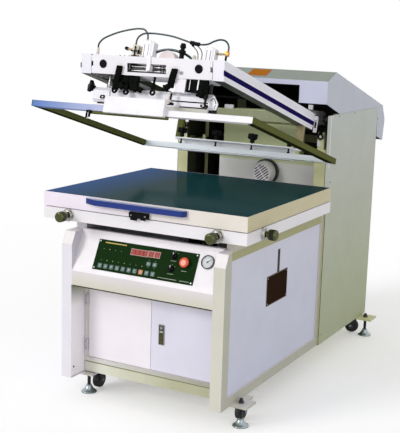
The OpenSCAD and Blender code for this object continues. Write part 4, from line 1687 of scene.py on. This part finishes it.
@dataclass
class Head:
    """Screen frame, stripes and holder details on the tilting head."""

    half: float = 527.0
    wide: float = 36.0
    front: float = -29.0
    rear: float = 930.0
    low: float = 955.0
    high: float = 981.0
    lilac_end: float = -146.0
    knob_x: tuple[float, ...] = (-293, -98, 98, 293)
    knob_y: float = 900.0
    cross: tuple[Point, Point] = ((-269, 959.3, 1135.3), (269, 1010.7, 1186.7))
    jaw: tuple[Point, Point] = ((-215, -28.4, 943.4), (150, -10.5, 954.8))
    small_clamp: tuple[tuple[Point, Point, float, float], ...] = (
        ((-231, -42.5, 944), (-211, -9, 954.8), 1.5, 3),
        ((-231, -42.5, 920), (-225, -32.5, 945), 1.5, 2),
        ((-217, -42.5, 926), (-212, -32.5, 945), 1.5, 2),
    )

    def build(self) -> None:
        """Makes the frame's members, the arms' fittings, the holder's knobs and the clamps."""
        self.screen()
        self.stripes()
        for side, name in SIDES:
            self.arm(side, name)
        self.knobs()
        self.clamps()

    def stripes(self) -> None:
        """Lays a dark stripe along the inner face of both arms."""
        for side, name in SIDES:
            outline = rounded([[27, 1146], [21, 1167], [1040, 1167], [1030, 1146]], 1.0, 1)
            x = sorted((side * 343.9, side * 344.7))
            Shell(HEAD).prism(outline, Axis.X, *x, 0.2, 1).piece(name + "_stripe", "head", STRIPE)

    def arm(self, side: int, name: str) -> None:
        """Makes one arm's hanger and the bracket and slot near its end.

        Args:
            side: -1 on the left, 1 on the right.
            name: the side's name.
        """
        low, high = sorted((side * 309.4, side * 342.6))
        sleeve = Shell(HEAD).block((low, 921.4, 1012), (high, 942.6, 1123.6), 0.8, 1.2)
        # The left hanger is painted with the olive of painted shade.
        sleeve.piece(name + "_hanger", "head", HANGER if side > 0 else SHADE_OLIVE)
        low, high = sorted((side * 345, side * 363))
        end = Shell(HEAD).block((low, 1036, 1114), (high, 1042, 1192), 0.8, 2, Axis.Y)
        end.block((low - 0.2, 1026, 1172), (high + 0.2, 1037, 1192.4), 0.8)
        end.piece(name + "_end_bracket", "head", PALE)
        x = side * 354.5
        # The slot is a black mark that stands for the shade inside it.
        mark = Shell(HEAD).block((x - 4, 1034.8, 1136), (x + 4, 1036.4, 1166), 0.3, 2, Axis.Y)
        mark.piece(name + "_end_slot", "head", BLACK)

    def knobs(self) -> None:
        """Puts star knobs on the holder's studs, and a sleeve of painted shade on the member between the
        arms.
        """
        knobs = Shell(HEAD)
        neck = [[3, 1016], [12, 1017], [10, 1035], [3, 1035]]
        for x in self.knob_x:
            knobs.prism(star(50, 5, 0.2, 80) + (x, self.knob_y), Axis.Z, 1034, 1060, 6, 4)
            knobs.lathe(neck, (x, self.knob_y, 0), UP, 24)
        knobs.piece("clamp_knobs", "head", BLACK)
        Shell(HEAD).block(*self.cross, 1.2, 2).piece("cross_tube_shade", "head", CROSS_TUBE_SHADE)

    def clamps(self) -> None:
        """Makes the front clamp's lower jaw in the olive of painted shade, and the small clamp with its
        screw.
        """
        Shell(HEAD).block(*self.jaw, 1.0, 2).piece("lower_jaw", "head", SHADE_OLIVE)
        hook = Shell(HEAD)
        for low, high, edge, corner in self.small_clamp:
            hook.block(low, high, edge, corner)
        hook.piece("small_clamp", "head", BLACK)
        pin = Shell(HEAD).rod((-221, -37.5, 917), (-221, -37.5, 944.5), 3, 0.8)
        pin.piece("small_clamp_screw", "head", STEEL)

    def member(self, name: str, finish: Finish, corners: Sequence[Point]) -> None:
        """Makes one mitred member of the screen frame.

        Args:
            name: the member's name.
            finish: its colour.
            corners: its outline seen from above.
        """
        outline = rounded(corners, 0.8, 2)
        part = Shell(HEAD).prism(outline, Axis.Z, self.low, self.high, 1.6, 3)
        part.piece(name, "head", finish, "screen_frame")

    def screen(self) -> None:
        """Makes the four members of one alloy frame, the front one in two colours and with its outer
        corner in a third: painted light and shade, olive on the shaded side members and corner, blue to
        lavender light on the front member's left part.

        Each is a mitred outline between the frame's outer sides a, f, r and its inner sides
        b, g, s, with a joint of 2 t between two members.
        """
        a, b, f, r = self.half, self.half - self.wide, self.front, self.rear
        g, s, m, t = f + self.wide, r - self.wide, self.lilac_end, 0.2
        self.member("screen_front_left", LILAC, [[4 - a, f], [m - t, f], [m - t, g], [-b, g]])
        self.member("screen_corner", SHADE_OLIVE, [[-a, f], [3.6 - a, f], [3.6 - a, f + 3], [-a, f + 0.2]])
        self.member("screen_front_right", FRONT, [[m + t, f], [a, f], [b, g], [m + t, g]])
        f, g, r, s = f + 2 * t, g + 2 * t, r - 2 * t, s - 2 * t
        self.member("screen_left", SHADE_OLIVE, [[-a, f], [-b, g], [-b, s], [-a, r]])
        self.member("screen_right", SHADE_OLIVE, [[a, f], [a, r], [b, s], [b, g]])
        r, s = self.rear, self.rear - self.wide
        self.member("screen_rear", ALLOY, [[-a, r], [-b, s], [b, s], [a, r]])


@dataclass
class Carriage:
    """Fittings on the carriage beam: plugs, rods, valve, screws and the parts under it."""

    top: float = 1202.0
    under: float = 1127.0
    plug_x: float = 230.0
    window_rods: tuple[float, ...] = (1149, 1166)
    window_bars: tuple[float, ...] = (-108, -94, 50, 64)
    face_screw: tuple[float, float] = (150, 22.8)
    post_ends: tuple[float, float] = (-163, -50)
    post_count: int = 6
    cover_at: tuple[float, float] = (52, 1202.3)
    cover_radius: float = 40.3
    cylinders_at: tuple[tuple[float, float, float], ...] = ((-66, 50, 1.0), (214, 82, 0.88))
    eyes: tuple[tuple[float, float], ...] = ((-163, 1060), (-106, 1056), (23, 1061), (270, 1060))
    grips: tuple[tuple[float, float, float], ...] = (
        (-136, 1082, 38), (-68, 1078, 44), (-40, 1068, 26), (84, 1084, 34), (246, 1070, 40),
    )
    thumb_at: tuple[float, float] = (111, 30)
    clips: tuple[tuple[float, float], ...] = ((96, 131), (260, 290))
    rod_x: float = 222.0
    rod_y: float = 84.0

    def build(self) -> None:
        """Makes every fitting of the carriage and the squeegee's holder."""
        self.face()
        self.upper()
        self.valve()
        self.cylinders()
        self.lower()
        self.holder()

    def face(self) -> None:
        """Makes the plugs, the rods in the window with a dark plate of painted shade behind them, the
        window's dark edges, the upper one painted shade, and the screws on the front face.
        """
        plugs = Shell(FACE)
        profile = [
            [4, -3], [15.4, -3], [15.4, 0.2], [18, 0.3], [18, 1.6], [16.8, 2.6], [13.2, 2.8],
            [12.4, 1.6], [4, 1.3],
        ]
        for x in (-self.plug_x, self.plug_x):
            plugs.lathe(profile, (x, 41.5, 0), UP, 40)
        plugs.piece("beam_plugs", "carriage", BLACK)
        rods = Shell(HEAD)
        for z in self.window_rods:
            rods.rod((-109.9, 44, z), (77.9, 44, z), 4.0)
        rods.piece("window_rods", "carriage", STEEL)
        # A dark plate behind the rods is painted shade inside the window.
        back = Shell(HEAD).block((-109.8, 52, 1141.2), (77.8, 54, 1173.8), 0.3)
        back.piece("window_shade", "carriage", WINDOW_SHADE)
        # The dark line along the window's upper edge is painted shade.
        rim = Shell(FACE)
        for low, high in (((-111, 13.5), (79, 15.5)), ((-111, 48.6), (79, 50.2))):
            rim.block((*low, 0.02), (*high, 0.6), 0.2)
        for x in self.window_bars:
            rim.block((x, 16, -6), (x + 2.4, 48, -1), 0.4)
        rim.piece("window_edges", "carriage", LUMP)
        cheeks = Shell(HEAD)
        lower = rounded([[35.6, 1127], [28, 1156], [120, 1156], [120, 1127]], 1.0, 2)
        upper = rounded([[22.4, 1176], [15.6, 1200], [120, 1200], [120, 1176]], 1.0, 2)
        for side in (-1, 1):
            x = sorted((side * 281.2, side * 290.8))
            cheeks.prism(lower, Axis.X, *x, 0.5).prism(upper, Axis.X, *x, 0.5)
        cheeks.piece("beam_cheeks", "carriage", PALE)
        disc = [[3, 0.1], [9, 0.1], [9, 1.2], [8.2, 1.7], [3, 1.7]]
        washer = Shell(FACE).lathe(disc, (*self.face_screw, 0), UP, 32)
        washer.piece("face_washer", "carriage", STEEL)
        screws("face_screw", "carriage", STEEL, FACE, [(*self.face_screw, 1.6)], UP, 10)

    def upper(self) -> None:
        """Makes the screws and posts on top, the cover's face and pipe, and the hand screw."""
        top = self.top
        row = [(x, 40, top) for x in np.linspace(*self.post_ends, self.post_count).tolist()]
        screws("top_screws", "carriage", BLACK, HEAD, row, UP, 9)
        posts = Shell(HEAD)
        for x, y, _ in row:
            posts.rod((x, y, top + 0.1), (x, y, top + 8), 3.2)
        posts.piece("top_posts", "carriage", BLACK)
        a = np.linspace(0, math.pi, 33)
        outline = self.cover_radius * np.stack([np.cos(a), np.sin(a)], 1) + self.cover_at
        cover = Shell(HEAD).prism(outline, Axis.Y, 58.4, 60.4, 0.5, 1)
        cover.piece("cover_face", "carriage", COVER_FACE)
        grip = [
            [4, top + 0.1], [10, top + 0.1], [10, 1235], [11, 1237.6], [15, 1238.4], [15, 1249],
            [14, 1250.4], [9.4, 1251.2], [9, 1252], [9, 1260.5], [12.4, 1262], [13, 1263.4],
            [12.8, 1268], [9.6, 1279], [8.4, 1280], [3, 1280],
        ]
        hand = Shell(HEAD).lathe(grip, (112, 75, 0), UP, 36)
        hand.piece("hand_screw", "carriage", BLACK, "hand_screws")
        bend = [
            [-14, 82, 1240], [-4, 82, 1244.5], [15, 82, 1250], [44, 82, 1253], [72, 82, 1251],
            [90, 82, 1247], [104, 84, 1243], [118, 90, 1240], [133, 92, 1233], [146, 88, 1226],
            [156, 84, 1216],
        ]
        Shell(HEAD).tube(spline(bend, 6), 5.4).piece("cover_pipe", "carriage", HOSE)
        stem = Shell(HEAD).rod((302, 102, 1202.2), (302, 102, 1243), 4.5)
        stem.piece("tap_stem", "carriage", BLACK)

    def valve(self) -> None:
        """Makes the valve: cream body, brown fittings, dark plug and the brass tap."""
        top = self.top
        body = Shell(HEAD).block((-128, 56, top + 0.1), (-72, 92, 1221.8), 1.5, 2.5)
        body.block((-122, 60, 1221), (-92, 88, 1261.8), 1.8, 3)
        cap = [[3, top + 0.1], [8, top + 0.1], [8, 1228], [6.6, 1229], [6.6, 1232], [3, 1232]]
        body.lathe(cap, (172, 75, 0), UP, 6)
        body.piece("valve_body", "carriage", CREAM, "valve_block")
        left = (-1, 0, 0)
        parts = Shell(HEAD)
        for profile, foot, way in (
            ([[3, 1221], [7, 1221], [7, 1236], [5.4, 1238], [5.4, 1249], [6.4, 1250], [6.4, 1256],
              [3, 1256]], (-82, 70, 0), UP),
            ([[2, 0], [5.8, 0], [5.8, 9], [4.6, 10], [4.6, 20], [5.4, 21], [5.4, 28], [2, 28]],
             (-122, 74, 1246), left),
            ([[3.9, 1261], [7, 1261], [7, 1266], [5.4, 1268], [3.9, 1268]], (-116, 74, 0), UP),
            ([[2, 0], [5, 0], [5, 22], [4.2, 23], [4.2, 40], [2, 40]], (258, 104, 1250), RIGHT),
        ):
            parts.lathe(profile, foot, way, 24)
        parts.piece("valve_fittings", "carriage", VALVE, "valve_block")
        plug = [[3.9, 1242], [7, 1242], [7, 1258], [6, 1262], [3.9, 1262]]
        tap = Shell(HEAD).lathe(plug, (307, 104, 0), UP, 24)
        tap.block((292, 98, 1252), (303, 99.6, 1261), 0.5, 1.5, Axis.Y)
        tap.piece("brass_tap", "carriage", BRASS, "valve_block")
        wing = Shell(HEAD).block((305, 95.6, 1250), (309, 98, 1258), 0.6, 1.2, Axis.Y)
        wing.block((299, 93.6, 1247), (315, 95.8, 1252), 0.6, 1.2, Axis.Y)
        wing.piece("brass_wing", "carriage", BRASS)
        dark = Shell(HEAD).rod((-104, 54, top + 4), (-104, 54, 1256), 3.0)
        dark.rod((-118, 56, 1214), (-80, 56, 1214), 2.6)
        dark.rod((-126, 58, 1236), (-96, 58, 1236), 2.6)
        dark.block((-131, 54, top + 0.2), (-124, 62, 1212), 1.0)
        dark.block((-90, 52, 1222), (-84, 60, 1240), 1.0)
        dark.piece("valve_dark_parts", "carriage", BLACK)
        cone = [[3, 0], [6.8, 0], [7.4, 2], [7.4, 12], [6, 16], [3, 18]]
        tip = Shell(HEAD).lathe(cone, (-150, 74, 1246), (-1, 0, 0.35), 24)
        tip.piece("valve_tip", "carriage", BLACK)

    def cylinders(self) -> None:
        """Adds end plates, tie screws, grooves and hose collars to the two air cylinders.

        Both are drawn from one set of sizes, each at its own scale s from its corner x, y.
        """
        plates, heads, grooves, z = Shell(HEAD), Shell(HEAD), Shell(HEAD), self.top
        for x, y, s in self.cylinders_at:
            for low, high in ((z + 66 * s, z + 78.4 * s), (z + 0.2, z + 10 * s)):
                far = (x + 38.6 * s, y + 44.6 * s, high)
                plates.block((x - 0.6, y - 0.6, low), far, 1.2, 3)
            for dx in (6, 32):
                for dy in (6, 38):
                    heads.screw((x + dx * s, y + dy * s, z + 78.4 * s), UP, 6.5)
            # The grooves are black marks that stand for the shade in them.
            for dx in (9, 29):
                at = x + dx * s
                grooves.block((at - 0.9, y - 0.5, z + 12 * s), (at + 0.9, y + 0.1, z + 64 * s), 0.2)
        plates.piece("cylinder_plates", "carriage", PALE)
        heads.piece("cylinder_screws", "carriage", STEEL)
        grooves.piece("cylinder_grooves", "carriage", BLACK)
        collar = [[3.9, 1280], [7, 1280], [7, 1284], [5.6, 1287], [3.9, 1287]]
        sleeve = [
            [3.9, 1210], [7.6, 1210], [7.6, 1218], [6, 1219], [6, 1232], [4.6, 1236], [3.9, 1236],
        ]
        ports = Shell(HEAD).lathe(collar, (-55, 62, 0), UP, 24).lathe(sleeve, (-274, 34, 0), UP, 24)
        ports.piece("hose_collars", "carriage", CREAM)

    def lower(self) -> None:
        """Makes the eyes and stems, the thumb screw and the clips that hang under the beam."""
        eyes, dark, gaps = Shell(HEAD), Shell(HEAD), Shell(HEAD)
        eye = [[6.2, 0], [11.6, 0], [13.2, 1.6], [13.2, 6.4], [11.6, 8], [6.2, 8]]
        for x, z in self.eyes:
            eyes.lathe(eye, (x, 44, z), FORTH, 32, True)
            dark.rod((x, 41, z + 12), (x, 41, self.under), 5.0)
            dark.block((x - 11, 35, z + 14), (x + 7, 46, z + 28), 2.0)
        for x, z, size in self.grips:
            dark.prism(star(size, 5, 0.14, 60) + (x, z), Axis.Y, 32, 47, 3.0, 3)
        dark.block((-146, 40, 1096), (-56, 50, self.under), 2.0)
        eyes.piece("black_eyes", "carriage", LUMP)
        dark.piece("black_stems", "carriage", LUMP)
        gaps.block((186.4, 45, 1082), (189.6, 60, 1126.5), 0.4)
        gaps.block((223.2, 45, 1078), (228.8, 60, 1126.5), 0.4)
        gaps.piece("pale_gaps", "carriage", PALE)
        stem = [[2, 1032], [3.6, 1032], [3.6, 1066], [2, 1067]]
        thumb = Shell(HEAD).lathe(stem, (*self.thumb_at, 0), UP, 20)
        thumb.prism(star(22, 16, 0.05, 96) + self.thumb_at, Axis.Z, 1020, 1034, 1.4, 2)
        thumb.piece("thumb_screw", "carriage", CREAM)
        clips, heads = Shell(HEAD), Shell(HEAD)
        for x0, x1 in self.clips:
            middle = (x0 + x1) / 2
            clips.block((x0, 26, 1014), (x1, 44, 1024), 1.2, 3)
            heads.screw((middle, 26, 1019), FORTH, 8)
            clips.block((middle - 4, 34, 1022), (middle + 4, 42, 1064), 1.0)
        clips.piece("black_clips", "carriage", BLACK)
        heads.piece("clip_screws", "carriage", MOTOR)

    def holder(self) -> None:
        """Makes the squeegee's holder, its end plates and lines, its guide rods and star knob."""
        outline = rounded([[70, 1060], [80, 1077], [100, 1048], [92, 1014], [74, 1014]], 1.5, 3)
        bar = Shell(HEAD).prism(outline, Axis.X, -288, 288, 1.0)
        bar.piece("squeegee_bar", "squeegee", BAR_WHITE, "squeegee_holder")
        plate = rounded([[274, 1012], [313, 1012], [319, 1037], [297, 1070], [274, 1055]], 2.0, 3)
        end = Shell(HEAD).prism(plate, Axis.Y, 64, 70.6, 0.8)
        end.block((-287, 66, 1022), (-203, 71.4, 1062), 1.0, 2, Axis.Y)
        end.piece("bar_end_plates", "squeegee", BAR_WHITE)
        lines = Shell(HEAD)
        for low, high, edge in (
            ((100, 71.2, 1036), (273.8, 73, 1041), 0.4),
            ((140, 73.0, 1014.5), (273.8, 75, 1019), 0.4),
            ((-256, 64.8, 1004.5), (-212, 73.6, 1009.5), 0.8),
        ):
            lines.block(low, high, edge)
        for start, stop, wide in (
            ((283, 1048), (298, 1060), 3.0),
            ((300, 1059), (311, 1037), 3.0),
            ((310, 1034), (306, 1018), 2.4),
        ):
            lines.slit((0, 0), start, stop, wide, 63.3, 64.4)
        lines.slit((-235, 1033), (-13, 0), (13, 0), 16, 64.9, 66.4)
        lines.piece("bar_dark_lines", "squeegee", LUMP)
        eye = Shell(HEAD).slit((-235, 1033), (-5, 0), (5, 0), 6, 64.3, 65.3)
        eye.piece("bar_eye", "squeegee", CREAM)
        rods, y = Shell(HEAD), self.rod_y
        for x in (-self.rod_x, self.rod_x):
            rods.rod((x, y, 1050), (x, y, 1190), 6)
            rods.lathe([[6, 1078], [10, 1078], [10, 1086], [6, 1086]], (x, y, 0), UP, 6)
        rods.rod((-301, 86, 1062), (-287.5, 86, 1062), 5)
        rods.piece("squeegee_rods", "squeegee", STEEL, "squeegee_holder")
        way = np.array([-0.62, -0.78, 0.08]) / np.linalg.norm([0.62, 0.78, 0.08])
        turn = np.stack([*ring_frame(way), way], axis=1)
        seat = Pose(HEAD.turn @ turn, HEAD.place(np.array([-300.0, 84.0, 1076.0])))
        knob = Shell(seat).prism(star(54, 5, 0.2, 80), Axis.Z, 4, 22, 5.0, 4)
        knob.lathe([[2, -8], [8, -8], [9, 5], [2, 5]], (0, 0, 0), UP, 24)
        knob.piece("squeegee_knob", "squeegee", BLACK, "squeegee_holder")


@dataclass
class Hoses:
    """Air hoses on the carriage, along the same points as in the part's source."""

    diameter: float = 7.5
    branch_diameter: float = 4.0
    left_run: tuple[tuple[float, float, float], ...] = (
        (-274, 34, 1214), (-274, 34, 1225), (-277, 36, 1239), (-280, 40, 1253), (-278, 46, 1266),
        (-270, 52, 1280), (-253, 58, 1293), (-230, 61, 1304), (-203, 62, 1314), (-172, 62, 1322),
        (-142, 62, 1328), (-112, 62, 1332), (-81, 62, 1330), (-63, 62, 1316), (-56, 62, 1300),
        (-55, 62, 1280),
    )
    main_run: tuple[tuple[float, float, float], ...] = (
        (-116, 74, 1268), (-115, 74, 1287), (-106, 75, 1304), (-85, 77, 1316), (-48, 80, 1319),
        (-10, 80, 1317), (26, 79, 1313), (62, 78, 1307), (98, 78, 1298), (132, 78, 1289),
        (166, 79, 1282), (198, 81, 1280), (222, 85, 1285), (241, 88, 1296), (260, 93, 1305),
        (277, 97, 1307), (291, 100, 1303), (301, 103, 1293), (307, 104, 1278), (307, 104, 1262),
    )
    branches: tuple[tuple[tuple[float, float, float], ...], ...] = (
        (
            (146, 79, 1279), (156, 78, 1271), (168, 77, 1262), (180, 76, 1250), (187, 75, 1236),
            (189, 75, 1221),
        ),
        (
            (172, 80, 1275), (184, 79, 1268), (195, 77, 1258), (203, 76, 1246), (206, 75, 1234),
            (206, 75, 1221),
        ),
    )

    def build(self) -> None:
        """Makes both hoses, their tie and the two thin branches."""
        self.hose("left_hose_tube", self.left_run, self.diameter, "left_hose")
        self.hose("main_hose_tube", self.main_run, self.diameter, "main_hose")
        for i, run in enumerate(self.branches):
            self.hose("branch_hose_{}".format(i + 1), run, self.branch_diameter)
        wrap = Shell(HEAD).tube(spline(self.main_run[9:12], 8)[3:13], 8.0, 18)
        wrap.block((150, 74, 1270), (160, 84, 1293), 3.0)
        wrap.piece("hose_tie", "carriage", BLACK)
        seats = Shell(HEAD)
        nipple = [[2.2, 1202], [5.5, 1202], [5.5, 1212], [4, 1214], [4, 1219], [2.2, 1219]]
        for run in self.branches:
            x, y, _ = run[-1]
            seats.lathe(nipple, (x, y, 0), UP, 20)
        seats.piece("branch_seats", "carriage", VALVE)

    def hose(self, name: str, run: Sequence[Point], size: float, *nodes: str) -> None:
        """Makes one hose as a tube along its run.

        Args:
            name: the object's name.
            run: its points with the head closed, in millimetres.
            size: its diameter.
            nodes: the CAD node that it replaces, if any.
        """
        path = spline(run)
        ends = ([0, 0, 1], [0, 0, -1]) if nodes else None
        thing = Shell(HEAD).tube(path, size / 2, 16, ends).piece(name, "carriage", HOSE, *nodes)
        placed = MACHINE.place(HEAD.place(path)) * MM


@dataclass
class Carried:
    """CAD nodes whose shape is right: each gets rounded edges and its finish.

    The folded ones have creases flatter than the usual 40 degrees, so theirs are rounded too.
    """

    folded: tuple[str, ...] = ("front_cover", "cabinet_frame", "hood")
    crease: float = 18
    finishes: tuple[tuple[str, Finish, float], ...] = (
        ("cabinet_frame", FRAME, 1.6), ("front_cover", CONSOLE_PAINT, 1.0),
        ("left_side_panel", PANEL, 0.8), ("right_side_panel", PANEL, 0.8),
        ("left_door", WHITE, 1.0), ("right_door", WHITE, 1.0), ("door_hinges", HINGE, 1.0),
        ("lock_plate", LOCK, 0.8), ("lock_handle", LOCK, 0.8), ("control_plate", CONSOLE_PLATE, 0.5),
        ("display_windows", DISPLAY, 0.3), ("gauge_needle", NEEDLE, 0.1),
        ("front_left_fork", CASTOR, 0.8), ("front_right_fork", CASTOR, 0.8),
        ("rear_left_fork", CASTOR, 0.8), ("rear_right_fork", CASTOR, 0.8),
        ("table_bed", BED, 1.2), ("cross_slide", STEEL, 0.8), ("table_slab", EDGE, 1.5),
        ("table_top", GLASS, 0.8), ("start_bar", BLUE, 1.4), ("bar_bracket", BLACK, 0.8),
        ("tower_frame", INNER, 1.0), ("tower_skin", TOWER, 1.0), ("hood", HOOD, 1.5),
        ("drive_housing", HOUSING, 1.5), ("blower_fan", CASTOR, 0.5), ("hinge_shaft", STEEL, 1.0),
        ("arms", ARM, 1.5), ("guide_rails", STEEL, 0.8), ("front_clamp", FRONT, 1.0),
        ("rear_holder", HOLDER, 0.8), ("clamp_screws", BLACK, 0.8), ("carriage_beam", BEAM, 1.4),
        ("air_cylinders", PALE, 0.8), ("lift_levers", LUMP, 1.0), ("squeegee_blade", RUBBER, 0.6),
        ("flood_bar", DARK, 0.6),
    )

    def build(self) -> None:
        """Stands a finished copy in the place of each node."""
        for node, finish, edge in self.finishes:
            softened(node, finish, edge, hard_from=self.crease if node in self.folded else 40)


def main() -> None:
    """Builds the camera, every sub-assembly and the studio in order."""
    logging.basicConfig(level=logging.INFO, format="%(name)s: %(message)s")
    Camera().build()
    for assembly in (Carried, Hoses, Plates, Console, Doors, Table, Feet, Tower, Head, Carriage):
        assembly().build()
    Studio().build()


if __name__ == "__main__":
    main()
